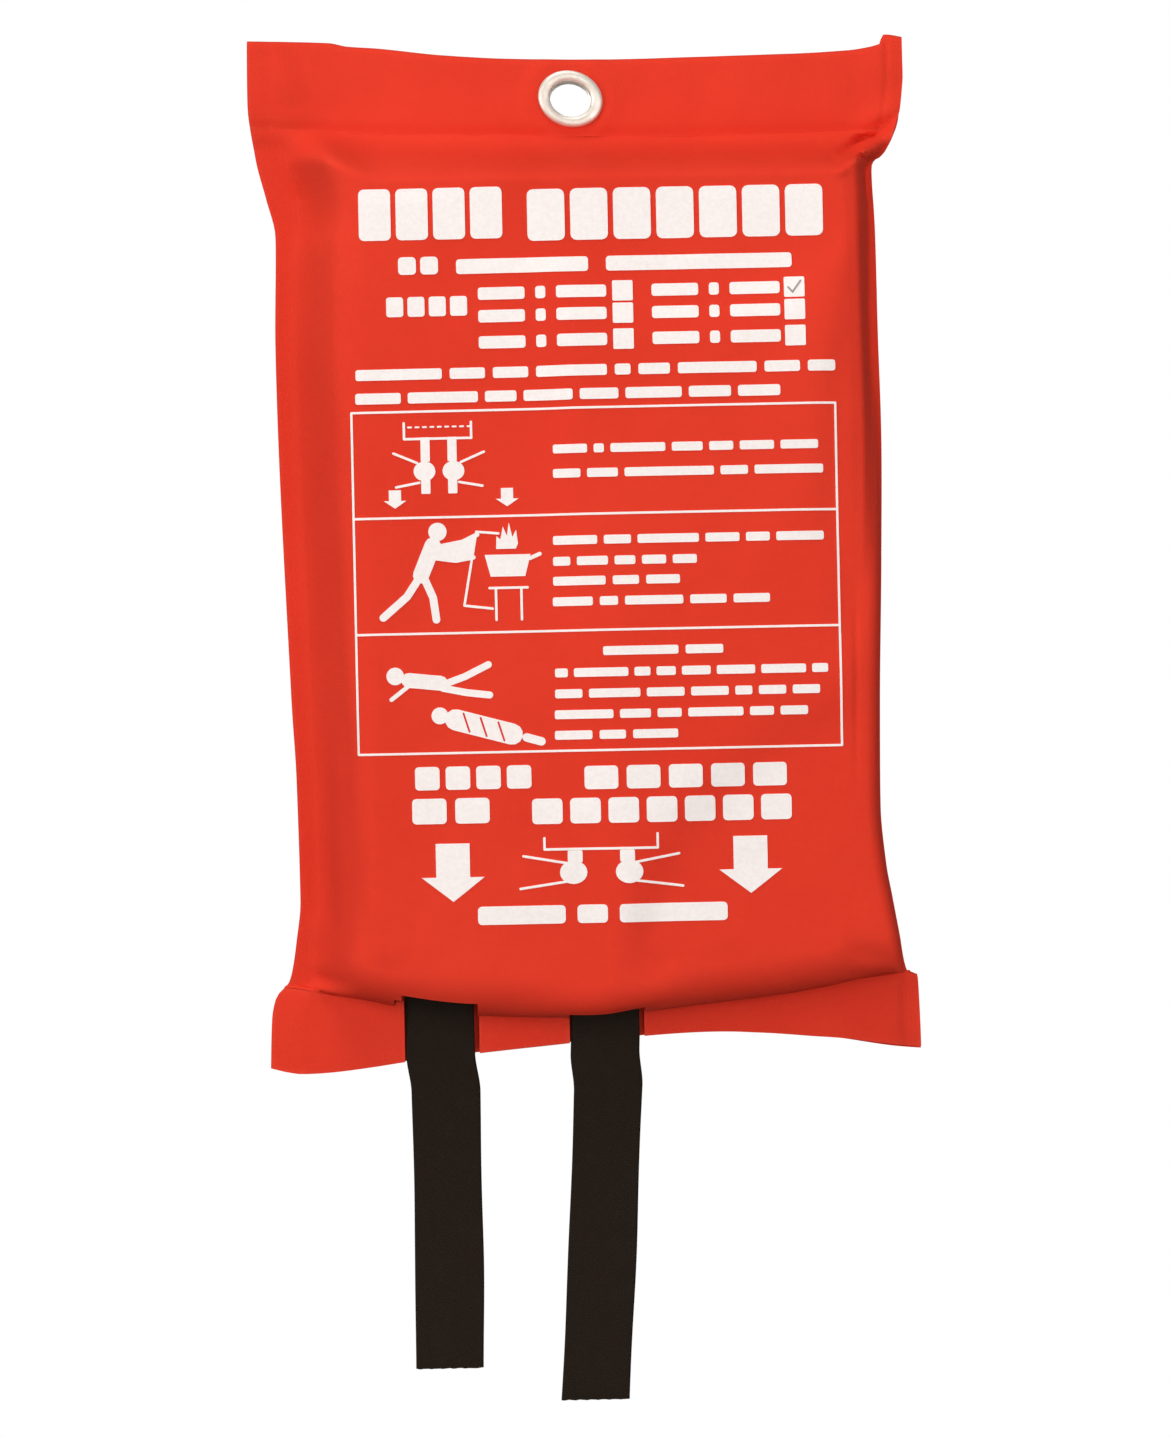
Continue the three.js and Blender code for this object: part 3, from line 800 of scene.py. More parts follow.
def front_sheet():
    """Front panel and mouth flap as the one piece of fabric that they are."""
    columns = front_columns(SPACING)
    grid, segments = front_grid(columns)
    coarse_columns = front_columns(2 * SPACING)
    coarse, coarse_segments = front_grid(coarse_columns, 0.5)
    moved = softened(settle(coarse, coarse_segments, coarse_columns))
    rows_at = np.linspace(0, coarse.shape[0] - 1, grid.shape[0])
    columns_at = np.interp(columns, coarse_columns, np.arange(len(coarse_columns)))
    grid = grid + softened(resampled(moved, rows_at, columns_at))
    grid[..., 1] = np.minimum(grid[..., 1], clear_of_pack(grid[..., 0], grid[..., 2]))
    cell_x = (columns[:-1] + columns[1:]) / 2
    keep = np.ones((grid.shape[0] - 1, grid.shape[1] - 1), bool)
    for tape in TAPES.values():
        across = cell_x - tape["top_x"]
        first = segments.index("bend") + tape["rise"]
        keep[first:] &= np.abs(across) > NOTCH_HALF
        beside_nick = (across > -NOTCH_HALF) | (across < -NOTCH_HALF - tape["nick"])
        keep[first + 2:segments.index("tab")] &= beside_nick
    vertices, faces = shape = sheet(grid, keep)
    nodes = ["front_panel", "mouth_flap"]
    piece = make_object("front_sheet_with_mouth_flap", shape, RED, None, nodes)
    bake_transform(piece)
    return BVHTree.FromPolygons((vertices * MM).tolist(), faces)


# ---- Header and back sheet ----

def open_eyelet_hole(grid):
    """Pushes a grid's points out of the eyelet's hole, and says which cells to keep."""
    hole, reach, cut = BORE_RADIUS + 0.6, 8.2, 4  # radii: of the hole, of what moves, of what goes
    dx, dz = grid[..., 0] - EYELET.x, grid[..., 2] - EYELET.z
    radius = np.maximum(np.hypot(dx, dz), 1e-6)
    middles = (grid[:-1, :-1] + grid[1:, :-1] + grid[:-1, 1:] + grid[1:, 1:]) / 4
    keep = np.hypot(middles[..., 0] - EYELET.x, middles[..., 2] - EYELET.z) > cut
    pushed = hole + np.maximum(radius - cut, 0) * (reach - hole) / (reach - cut)
    factor = np.where(radius < reach, pushed / radius, 1)
    grid[..., 0] = EYELET.x + dx * factor
    grid[..., 2] = EYELET.z + dz * factor
    return keep


def header_face_y(x, z):
    """The header's front layer: gently waved, pressed in along its welds and round the eyelet."""
    seam = header_seam(x)
    waves = (0.5 * ripple(x, z, 21, 60) + 0.12 * ripple(x, z, 22, 18)) * ease(z - seam, 0, 8)
    weld = 0.9 * bump(z, seam, 2.2) + 0.35 * seam_crease(x, z)
    near = np.hypot(x - EYELET.x, z - EYELET.z)
    flat = ease(near, EYELET_RADIUS, EYELET_RADIUS + 14)
    lift = 0.5 * bump(near, EYELET_RADIUS + 2.5, 2.2)
    corners = ridges(x, z, (1.2, (-88, 146), (-80, 128), 4), (0.9, (84, 144), (92, 130), 4))
    raised = lift + corners * flat + HEADER_FLIP * flip(x, z)
    return BAND_FRONT_Y - np.maximum(waves * flat, -0.3) + weld - raised


def level_row(columns, lower, drop, share):
    """Places from edge to edge of the pouch, at a share of the way from a lower curve up to the
    top edge less a drop."""
    def height(x):
        return lerp(lower(x), top_edge(x) - drop, share)

    x = columns * 90
    for _ in range(4):
        z = height(x)
        x = np.where(columns < 0, -columns * left_edge(z), columns * right_edge(z))
    return x, height(x)


def pierced_sheet(name, rows, node):
    """A sheet of the pouch with the eyelet's hole in it."""
    grid = np.array(rows)
    keep = open_eyelet_hole(grid)
    make_object(name, sheet(grid, keep), RED, "pouch", [node])


def header_band():
    """The strip folded over the top of both sheets: front face, round top, rear face."""
    fold = (BACK_Y - BAND_FRONT_Y) / 2
    fold_rows = 8
    columns = np.concatenate([np.linspace(-1, 0.9, 120, endpoint=False), np.linspace(0.9, 1, 18)])
    drop = fold + FABRIC / 2
    places = [level_row(columns, header_seam, drop, share) for share in np.linspace(0, 1, 26)]
    front = [at(x, header_face_y(x, z), z) for x, z in places]
    rear = [at(x, BACK_Y - REAR_FLIP * flip(x, z), z) for x, z in reversed(places)]
    x, y, z = front[-1].T
    top = []
    for angle in np.pi * np.arange(1, fold_rows) / fold_rows:
        top.append(at(x, lerp(y, BACK_Y, (1 - np.cos(angle)) / 2), z + fold * np.sin(angle)))
    pierced_sheet("folded_header_band", front + top + rear, "header_band")


def back_sheet():
    """The back sheet, which lies on the wall and reaches from the footer's hem into the header."""
    rows = []
    for share in np.linspace(0, 1, 260):
        x, z = level_row(np.linspace(-1, 1, 131), hem, 2.4, share)
        waves = np.maximum(0.3 * ripple(x, z, 31, 55), 0) * ease(-np.abs(z), -118, -100)
        inside_band = ease(z, header_seam(x) - 8, header_seam(x) - 1)
        y = BACK_Y - 1.0 * inside_band - waves + 0.12 * seam_crease(x, z) * inside_band
        rows.append(at(x, y - BACK_FLIP * flip(x, z), z))
    pierced_sheet("back_sheet", rows, "back_panel")


def out_of_round(vertices):
    """Points about the eyelet's axis, squashed into its slight oval."""
    dx, dz = vertices[:, 0] - EYELET.x, vertices[:, 2] - EYELET.z
    c, s = math.cos(EYELET_LEAN), math.sin(EYELET_LEAN)
    along, across = dx * c + dz * s, (dz * c - dx * s) * EYELET_SQUASH
    x, z = EYELET.x + along * c - across * s, EYELET.z + along * s + across * c
    return at(x, vertices[:, 1], z)


def eyelet_and_washer():
    """A pressed eyelet, slightly out of round as it sits in soft cloth, and its washer."""
    front, rear = low("eyelet").y, high("eyelet").y
    barrel = BORE_RADIUS + 0.4
    centre = (barrel + EYELET_RADIUS) / 2 - 0.2
    half = (EYELET_RADIUS - barrel) / 2 + 0.2
    ring = []
    for angle in np.linspace(0, np.pi, 15):  # the domed flange
        ring.append((centre - half * np.cos(angle), front + 1.25 * (1 - np.sin(angle) ** 0.8)))
    ring += [(EYELET_RADIUS - 0.1, front + 1.35), (barrel + 0.35, front + 1.35)]
    ring += [(barrel, front + 1.8), (barrel, rear - 0.9)]
    for angle in np.linspace(0, np.pi, 9)[:-1]:  # the rolled rear end
        ring.append((barrel + 0.65 - 0.65 * np.cos(angle + np.pi), rear - 0.55 + 0.55 * np.sin(angle)))
    ring.append((BORE_RADIUS, rear - 0.6))
    front, rear = low("eyelet_washer").y, high("eyelet_washer").y
    outer = (high("eyelet_washer").x - low("eyelet_washer").x) / 2
    inner = BORE_RADIUS + 0.75
    washer = [(inner, front), (outer - 0.2, front), (outer, front + 0.2), (outer - 0.15, rear - 0.1)]
    washer += [(outer - 0.5, rear), (inner + 1.2, rear), (inner, rear - 0.15)]
    for name, profile, node, sharp in (
        ("eyelet_ring", ring, "eyelet", 60),
        ("pressed_washer", washer, "eyelet_washer", 40),
    ):
        vertices, faces = lathe(profile, (EYELET.x, 0, EYELET.z))
        make_object(name, (out_of_round(vertices), faces), NICKEL, "pouch", [node], sharp)


# ---- Hook-and-loop patches ----

SIDES = ("left", "middle", "right")


def patch_grid(node, columns, rows):
    """Places x and z all over a patch."""
    return np.meshgrid(np.linspace(low(node).x, high(node).x, columns),
                       np.linspace(low(node).z, high(node).z, rows))


def loop_patches():
    """Pads of uneven pile."""
    for side in SIDES:
        node = f"loop_patch_{side}"
        x, z = patch_grid(node, 64, 30)
        pile = np.array([draw.uniform(0, 0.3) for _ in range(x.size)]).reshape(x.shape)
        shape = block(at(x, low(node).y + 0.02 + pile, z), at(x, high(node).y, z))
        make_object(f"loop_pile_{side}", shape, LOOP_PILE, "pouch", [node])


def hook_patches():
    """A base tape with rows of small bent hooks that face the loops."""
    # A hook's points: share of its lean, place behind the base and height
    hook = ((0, -0.05, 0), (1, 0.26, 0), (1, 0.42, 0.16), (1, 0.40, 0.38), (1, 0.24, 0.46))
    for side in SIDES:
        node = f"hook_patch_{side}"
        corner_low, corner_high = low(node), high(node)
        base_y = corner_low.y + 0.35
        x, z = patch_grid(node, 21, 10)
        wave = 0.03 * np.sin(x * 2.1) * np.sin(z * 2.3)
        parts = [block(at(x, corner_low.y + wave + 0.03, z), at(x, base_y + wave, z))]
        for hook_z in np.arange(corner_low.z + 1.0, corner_high.z - 0.6, 1.15):
            for hook_x in np.arange(corner_low.x + 1.1, corner_high.x - 0.8, 1.3):
                lean = draw.uniform(-0.12, 0.12)
                path = [(hook_x + lean * bent, base_y + y, hook_z + up) for bent, y, up in hook]
                parts.append(thread(path, 0.09, 4))
        make_object(f"hook_tape_{side}", joined(parts), HOOK_TAPE, "flap", [node])


# ---- Blanket ----

LEAVES = 16
LEAF_AIR = 0.16  # between two leaves


def leaf_reach(y, side):
    """Half width of the pack at a depth: its front edges are rounded off, the left one more."""
    share = np.clip((PACK_HIGH.y - y) / (PACK_HIGH.y - PACK_LOW.y), 0, 1)
    rounding = LEFT_ROUNDING * share**2 if side < 0 else RIGHT_ROUNDING * share**4
    return PACK_HIGH.x - rounding


def folded_blanket():
    """Glass cloth folded to and fro: one ribbon with rounded turns, seen edge-on at the sides."""
    pitch = (PACK_HIGH.y - PACK_LOW.y) / LEAVES
    radius = pitch / 2
    path = []
    for leaf in range(LEAVES):
        y = PACK_HIGH.y - pitch / 2 - leaf * pitch
        share = leaf / (LEAVES - 1)
        upper = PACK_HIGH.z - UPPER_ROUNDING * share**2 - draw.uniform(0, 1.2) - pitch
        lower = PACK_LOW.z + LOWER_ROUNDING * share**3 + draw.uniform(0, 1.0) + pitch
        side = 1 if leaf % 2 == 0 else -1  # a leaf that runs up turns at its top
        start, end = (lower, upper)[::side]
        path += [(y, z, leaf) for z in np.linspace(start, end, 26)]
        if leaf < LEAVES - 1:
            for angle in np.linspace(0, np.pi, 7)[1:-1]:
                turn_z = end + side * radius * math.sin(angle)
                path.append((y - radius + radius * math.cos(angle), turn_z, leaf))
    columns = np.linspace(-1, 1, 41)
    slips = [draw.uniform(0, 0.9) for _ in range(LEAVES + 1)]
    rows = []
    for y, z, leaf in path:
        reach = np.where(columns < 0, leaf_reach(y, -1), leaf_reach(y, 1)) - slips[leaf]
        rows.append(at(columns * reach, y, z))
    shape = sheet(np.array(rows), thickness=pitch - LEAF_AIR)
    make_object("folded_glass_cloth", shape, GLASS_CLOTH, "blanket", ["folded_blanket"])


def stitch(start, end, y, rise, shares, radius):
    """One stitch between two (x, z) places, bowed off its seam by a rise at its middle."""
    first, last = shares[0], shares[-1]
    bow = []
    for t in shares:
        y_here = y + rise * math.sin(math.pi * (t - first) / (last - first))
        bow.append((lerp(start[0], end[0], t), y_here, lerp(start[1], end[1], t)))
    return thread(bow, radius)


def hem_stitching():
    """A zigzag of single stitches that hems the cloth's outer edge."""
    node = "blanket_hem_stitching"
    z_middle = middle(node).z + LOWER_ROUNDING
    left = low(node).x + LEFT_ROUNDING
    right = high(node).x - RIGHT_ROUNDING
    count = round((right - left) / 2.6)
    quarters = (0, 0.25, 0.5, 0.75, 1)
    parts = []
    for i in range(count):
        up = 1.3 if i % 2 else -1.3
        start = (lerp(left, right, (i + 0.06) / count), z_middle + up)
        end = (lerp(left, right, (i + 0.94) / count), z_middle - up)
        parts.append(stitch(start, end, PACK_LOW.y - 0.02, -0.25, quarters, 0.28))
    make_object("hem_stitches", joined(parts), WHITE_THREAD, "blanket", [node])


# ---- Pull tapes ----

WEAVE_PITCH = 1.6
SEWN_Y = middle("left_tape_sewn_end").y
SEWN_TOP = high("left_tape_sewn_end").z
TAIL_Y = middle("left_pull_tape").y
PIVOT_Z = low("left_tape_sewn_end").z
TAPE_THICKNESS = 1.1


def tape_section(half_width, thickness, edge_points=4, samples=49):
    """Places round a tape's cross-section: (across, forward, share of the weave's relief)."""
    flat_half = half_width - thickness / 2
    across = np.linspace(-flat_half, flat_half, samples)
    front = [(x, thickness / 2, 1.0) for x in across]
    back = [(x, -thickness / 2, -1.0) for x in across[::-1]]
    turn = [np.pi / 2 - np.pi * k / edge_points for k in range(1, edge_points)]
    right = [(flat_half + thickness / 2 * np.cos(a), thickness / 2 * np.sin(a), 0.0) for a in turn]
    left = [(-x, -y, 0.0) for x, y, _ in right]
    return np.array(front + right + back + left)


def tape_rings(top_x, lean, bottom_z, seed):
    """Rings along a tape from its sewn end down through the mouth to its cut end."""
    aside = smooth((-128, -0.6), (-145, -0.5), (-156, 0.8), (-200, 0.8), (bottom_z, 0.3))
    section = tape_section(TAPE_WIDTH / 2, TAPE_THICKNESS)
    rings = []
    zs = np.arange(SEWN_TOP, bottom_z, -WEAVE_PITCH / 4)
    source = random.Random(seed)
    sway = source.uniform(0, 6)
    for z in np.append(zs, bottom_z):
        emerge = ease(z, -126, PIVOT_Z + 2)
        centre_x = top_x + aside(z) - math.tan(lean) * max(0.0, PIVOT_Z + 10 - z)
        centre_y = lerp(SEWN_Y, TAIL_Y, emerge) - 0.35 * emerge * math.sin(z / 17 + sway)
        narrow = 1 - 0.012 * (1 + math.sin(z / 9 + sway)) * emerge
        worn = 0.45 * ease(z, bottom_z + 2.2, bottom_z)
        across = section[:, 0] * narrow
        weave = np.cos(2 * np.pi * section[:, 0] / WEAVE_PITCH) * math.cos(2 * np.pi * z / WEAVE_PITCH)
        edge = 1 - ease(np.abs(section[:, 0]), TAPE_WIDTH / 2 - 1.8, TAPE_WIDTH / 2 - 1.0)
        relief = 0.085 * weave * edge - 0.05 * (1 - edge) * math.cos(4 * np.pi * z / WEAVE_PITCH)
        y = centre_y - (section[:, 1] + section[:, 2] * relief) * (1 - worn)
        frayed = 0.12 * np.sin(section[:, 0] * 1.9 + seed) * ease(z, bottom_z + 3, bottom_z)
        square = lean * emerge * (1 - ease(z, bottom_z + 25, bottom_z))  # the cut end is level
        x = centre_x + across * math.cos(square)
        rings.append(at(x, y, z + across * math.sin(square) + frayed))
    return rings


def pull_tape(side, seed):
    """One strip of webbing: the end that is sewn to the blanket, and the tail that swings."""
    tape = TAPES[side]
    nodes = [f"{side}_tape_sewn_end", f"{side}_pull_tape"]
    bottom = low(nodes[1]).z + 0.2
    shape = tube(tape_rings(tape["top_x"], tape["lean"], bottom, seed))
    name = f"{side}_webbing_tape"
    piece = make_object(name, shape, BLACK_WEBBING, None, nodes, sharp=60)
    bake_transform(piece)


def box_stitching(side):
    """A sewn rectangle with both diagonals, stitch by stitch, on the tape's rear face."""
    node = f"{side}_tape_stitching"
    inset = 0.4
    left, right = low(node).x + inset, high(node).x - inset
    bottom, top = low(node).z + inset, high(node).z - inset
    corners = [(left, bottom), (right, bottom), (right, top), (left, top)]
    lines = list(zip(corners, corners[1:] + corners[:1]))
    lines += [(corners[0], corners[2]), (corners[3], corners[1])]
    y = high(f"{side}_tape_sewn_end").y + 0.12
    parts = []
    for start, end in lines:
        count = round(math.dist(start, end) / 2.3)
        for i in range(count):
            shares = [(i + 0.08) / count, (i + 0.5) / count, (i + 0.92) / count]
            parts.append(stitch(start, end, y, 0.14, shares, 0.26))
    make_object(f"{side}_box_stitches", joined(parts), BLACK_THREAD, "blanket", [node])


# ---- Print ----
# The print is white ink in closed thin shapes that lie on the front sheet. Words and signs are
# stood in for by plain blocks and bars, and the pictures by simple signs of this script's own.

def rectangle(left, right, bottom, top, round_by=0.0):
    """An outline with plain or rounded corners."""
    if round_by <= 0:
        return [(left, bottom), (right, bottom), (right, top), (left, top)]
    points = []
    corners = ((right, top, 0), (left, top, 90), (left, bottom, 180), (right, bottom, 270))
    for x, z, start in corners:
        cx = x - round_by if x == right else x + round_by
        cz = z - round_by if z == top else z + round_by
        for step in range(4):
            angle = math.radians(start + 30 * step)
            points.append((cx + round_by * math.cos(angle), cz + round_by * math.sin(angle)))
    return points


def disc(x, z, radius, squash=1.0, count=20):
    angles = [2 * math.pi * k / count for k in range(count)]
    return [(x + radius * math.cos(a), z + radius * squash * math.sin(a)) for a in angles]


def strokes(width, *paths):
    """Lines with round ends: one rounded shape for each straight stretch of each path."""
    shapes = []
    for path in paths:
        for (x0, z0), (x1, z1) in zip(path, path[1:]):
            angle = math.atan2(z1 - z0, x1 - x0)
            shape = []
            for cx, cz, start in ((x1, z1, angle - math.pi / 2), (x0, z0, angle + math.pi / 2)):
                for step in range(7):
                    turn = start + math.pi * step / 6
                    shape.append((cx + width / 2 * math.cos(turn), cz + width / 2 * math.sin(turn)))
            shapes.append(shape)
    return shapes


def down_arrow(x, top, bottom, width):
    shaft = width * 0.27
    neck = bottom + (top - bottom) * 0.42
    return [
        (x - shaft, top), (x - shaft, neck), (x - width / 2, neck), (x, bottom),
        (x + width / 2, neck), (x + shaft, neck), (x + shaft, top),
    ]


def word_bars(left, right, z, height, lengths, space=1.5):
    """A line of text as bars with the rhythm of words."""
    total = sum(lengths) + space * (len(lengths) - 1)
    scale = (right - left) / total
    shapes, x = [], left
    for length in lengths:
        width = length * scale
        shapes.append(rectangle(x, x + width, z - height / 2, z + height / 2, height * 0.22))
        x += width + space * scale
    return shapes


def letter_blocks(left, right, z, height, count, space=0.2):
    """A bold word as a row of upright blocks."""
    pitch = (right - left) / (count - space)
    width = pitch * (1 - space)
    round_by = min(width, height) * 0.16
    shapes = []
    for x in left + pitch * np.arange(count):
        shapes.append(rectangle(x, x + width, z - height / 2, z + height / 2, round_by))
    return shapes


def split_edges(shape, longest):
    """An outline with points added, so that none of its edges is longer than a length."""
    points = []
    for (x0, z0), (x1, z1) in zip(shape, shape[1:] + shape[:1]):
        count = max(1, math.ceil(math.hypot(x1 - x0, z1 - z0) / longest))
        points += [(lerp(x0, x1, k / count), lerp(z0, z1, k / count)) for k in range(count)]
    return points


LONGEST_EDGE = 1.7  # of the print's outlines, and the spacing of points inside wide shapes
WIDE_SHAPE = 3


def printed(name, shapes, surface, holes=(), material=INK, lift=0.17, sunk=0.16):
    """Shapes printed on the front sheet: a thin closed film that follows the cloth."""
    points, outlines = [], []
    for shape in [*shapes, *holes]:
        split = split_edges(shape, LONGEST_EDGE)
        outlines.append(list(range(len(points), len(points) + len(split))))
        points += split
    for shape in shapes:
        (left, bottom), (right, top) = np.min(shape, 0), np.max(shape, 0)
        if min(right - left, top - bottom) > WIDE_SHAPE:
            for x in np.arange(left + 1.5, right - 1, LONGEST_EDGE):
                points += [(x, z) for z in np.arange(bottom + 1.5, top - 1, LONGEST_EDGE)]
    made = delaunay_2d_cdt([Vector(p) for p in points], [], outlines, 1, 1e-4)
    flat, triangles, sources = made[0], made[2], made[5]
    inked = [source and max(source) < len(shapes) for source in sources]
    triangles = [list(t) for t, inside in zip(triangles, inked) if inside]
    upper = []
    for x, z in flat:
        hit = surface.ray_cast(Vector((x * MM, -0.2, z * MM)), Vector((0, 1, 0)))[0]
        upper.append((x, hit.y / MM if hit else BULGE_FRONT_Y, z))
    far = len(upper)
    vertices = np.concatenate([np.array(upper) - (0, lift, 0), np.array(upper) + (0, sunk, 0)])
    faces = triangles + [[i + far for i in reversed(t)] for t in triangles]
    edges = [pair for t in triangles for pair in zip(t, t[1:] + t[:1])]
    uses = Counter(frozenset(pair) for pair in edges)
    faces += [[q, p, p + far, q + far] for p, q in edges if uses[frozenset((p, q))] == 1]
    used = sorted({i for face in faces for i in face})
    place_of = {old: new for new, old in enumerate(used)}
    faces = [[place_of[i] for i in face] for face in faces]
    make_object(name, (vertices[used], faces), material, "pouch", sharp=60)


def title_print(surface):
    shapes = letter_blocks(-62.1, -21.5, 94.6, 14.6, 4, 0.14)
    shapes += letter_blocks(-14.4, 69.2, 93.6, 14.6, 7, 0.13)
    printed("print_title_blocks", shapes, surface)
    shapes = word_bars(-51.2, -39.9, 80, 5.0, [5, 5], 1.2)
    shapes += word_bars(-34.8, 60.1, 79.5, 4.2, [37, 52], 5)
    printed("print_subtitle_bars", shapes, surface)


def size_table_print(surface):
    shapes = letter_blocks(-54.8, -31.9, 68.4, 5.6, 4)
    boxes, half = [], 2.9
    for z in (71.7, 65.3, 57.9):
        for left, right, box_x in ((-28.8, 7.5, 12.1), (20.3, 56.5, 60.6)):
            shapes += word_bars(left, right, z, 3.5, [14, 3, 15], 3.2)
            boxes.append(rectangle(box_x - half, box_x + half, z - half, z + half, 0.4))
    printed("print_size_bars", shapes, surface)
    printed("print_tick_boxes", boxes, surface)
    tick = strokes(0.55, [(58.9, 71.6), (60.1, 70.2), (62.4, 73.4)])
    printed("print_tick", tick, surface, material=TICK_INK, lift=0.26, sunk=0.05)


def notice_print(surface):
    shapes = word_bars(-63.9, 71.7, 49.3, 3.1, [22, 9, 9, 18, 4, 8, 20, 9, 7], 2)
    shapes += word_bars(-64.1, 56.0, 42.6, 3.1, [13, 20, 9, 14, 11, 16, 12, 12], 2)
    printed("print_notice_bars", shapes, surface)


FRAME_LEFT, FRAME_RIGHT = -65.3, 71.5
FRAME_TOP, FRAME_BOTTOM = 38.7, -58
DIVIDERS = (8.7, -24.1)
LINE = 0.65


def instruction_print(surface):
    outer = rectangle(FRAME_LEFT, FRAME_RIGHT, FRAME_BOTTOM, FRAME_TOP)
    dividers = [[(FRAME_LEFT, z), (FRAME_RIGHT, z)] for z in DIVIDERS]
    printed("print_frame_lines", strokes(LINE, outer + outer[:1], *dividers), surface)
    rows = (  # height, left end, right end and word lengths
        (27.2, -8.5, 66.4, [10, 3, 16, 9, 7, 10, 11]),
        (20.3, -8.6, 67.7, [8, 9, 26, 8, 20]),
        (1.4, -9.0, 67.5, [13, 8, 18, 10, 7, 14]),
        (-4.5, -9.1, 31.5, [5, 9, 6, 7, 7]),
        (-10.1, -9.2, 26.6, [14, 7, 9]),
        (-15.9, -9.4, 51.9, [11, 5, 16, 10, 10]),
        (-30.0, 4.5, 38.4, [20, 10]),
        (-36.0, -9.2, 67.9, [4, 17, 5, 6, 9, 12, 14, 5]),
        (-41.9, -9.3, 65.5, [8, 15, 11, 11, 5, 8, 8]),
        (-47.8, -9.5, 62.0, [17, 9, 7, 16, 7, 8]),
        (-53.6, -9.6, 25.2, [10, 7, 12]),
    )
    shapes = []
    for z, left, right, lengths in rows:
        shapes += word_bars(left, right, z, 2.5, lengths, 1.9)
    printed("print_instruction_bars", shapes, surface)


def flame(x, z, height):
    """A three-tongued flame outline standing on (x, z)."""
    half = height * 0.42
    tips = ((-1, 0), (-0.95, 0.5), (-0.6, 0.36), (-0.35, 0.86), (0, 0.5), (0.2, 1.0), (0.5, 0.45),
            (0.85, 0.72), (1, 0.2), (0.8, 0))
    return [(x + half * a, z + height * b) for a, b in tips]


def pull_sign(surface):
    """First picture: the foot of the pouch, two tapes, two closed hands and two arrows."""
    lines = strokes(0.7, [(-50.5, 35.5), (-50.5, 31), (-31.5, 31), (-31.5, 35.5)])
    dashes = [[(x, 34.3), (x + 0.9, 34.3)] for x in -49.3 + 2.1 * np.arange(9)]
    lines += strokes(0.5, *dashes)
    shapes = []
    for x, side in ((-44.6, -1), (-37.0, 1)):
        shapes.append(rectangle(x - 1.3, x + 1.3, 24.5, 31.4, 0.3))
        shapes.append(disc(x + 0.3 * side, 21.8, 3.1, 0.9))
        shapes.append(rectangle(x - 1.3, x + 1.3, 15.4, 19.6, 0.3))
        upper_ray = [(x + 2.4 * side, 24.2), (x + 9.0 * side, 27.0)]
        lower_ray = [(x + 1.8 * side, 18.6), (x + 8.4 * side, 17.4)]
        lines += strokes(0.7, upper_ray, lower_ray)
    for x in (-53.4, -21.7):
        shapes.append(down_arrow(x, 16.6, 11.4, 6.4))
    printed("print_pull_sign", lines + shapes, surface)


def cover_sign(surface):
    """Second picture: a plain figure who lowers a sheet over a burning pan."""
    left_leg = [(-46.8, -8), (-50.6, -13.6), (-57.4, -19.4)]
    right_leg = [(-45.6, -8.4), (-43.2, -14.0), (-42.4, -20.2)]
    left_arm = [(-42.4, 0.2), (-34.6, 1.6), (-30.4, 3.6)]
    right_arm = [(-43.6, -2.6), (-36.6, -3.6), (-31.6, -2.8)]
    held_sheet = [(-24.4, 3.8), (-30.6, 4.4), (-32.8, -7.6), (-34.4, -16.4), (-26.4, -17.4)]
    pan = [(-28.4, -2.2), (-15.4, -2.2), (-17.0, -8.4), (-26.8, -8.4)]
    stove_top = [(-27.2, -11.6), (-16.4, -11.6)]
    stove_sides = [[(x, -11.8), (x, -20.6)] for x in (-25.4, -18.2)]
    shapes = [disc(-41.6, 4.6, 2.6), flame(-22.0, -0.6, 7.4), pan]
    shapes += strokes(4.6, [(-43, 0.8), (-46.5, -7.6)])
    shapes += strokes(2.2, left_leg, right_leg) + strokes(1.3, left_arm, right_arm)
    shapes += strokes(0.7, held_sheet, stove_top, *stove_sides)
    shapes += strokes(1.1, [(-15.6, -3.4), (-12.8, -2.2)])
    printed("print_cover_sign", shapes, surface)


def wrap_sign(surface):
    """Third picture: a plain lying figure, and the same figure wrapped up."""
    upper_leg = [(-40.8, -38.6), (-34.6, -36.4), (-28.0, -33.2)]
    lower_leg = [(-41.0, -39.6), (-34.2, -41.0), (-27.8, -41.8)]
    shapes = [disc(-54.4, -36.0, 2.5), disc(-42.0, -47.4, 2.4)]
    shapes += strokes(4.2, [(-50.6, -37.2), (-41.6, -38.2)])
    shapes += strokes(2.0, upper_leg, lower_leg)
    shapes += strokes(1.2, [(-50.4, -38.6), (-55.6, -42.6)])
    shapes += strokes(6.0, [(-37.6, -48.6), (-21.6, -53.0)])
    shapes += strokes(2.4, [(-17.6, -54.0), (-13.4, -55.2)])
    wraps = []
    for x in (-34.4, -29.6, -24.6):
        z = -48.6 - (x + 37.6) * 0.275
        wraps += strokes(0.55, [(x - 0.9, z + 2.6), (x + 0.7, z - 2.6)])
    printed("print_wrap_sign", shapes, surface, holes=wraps)


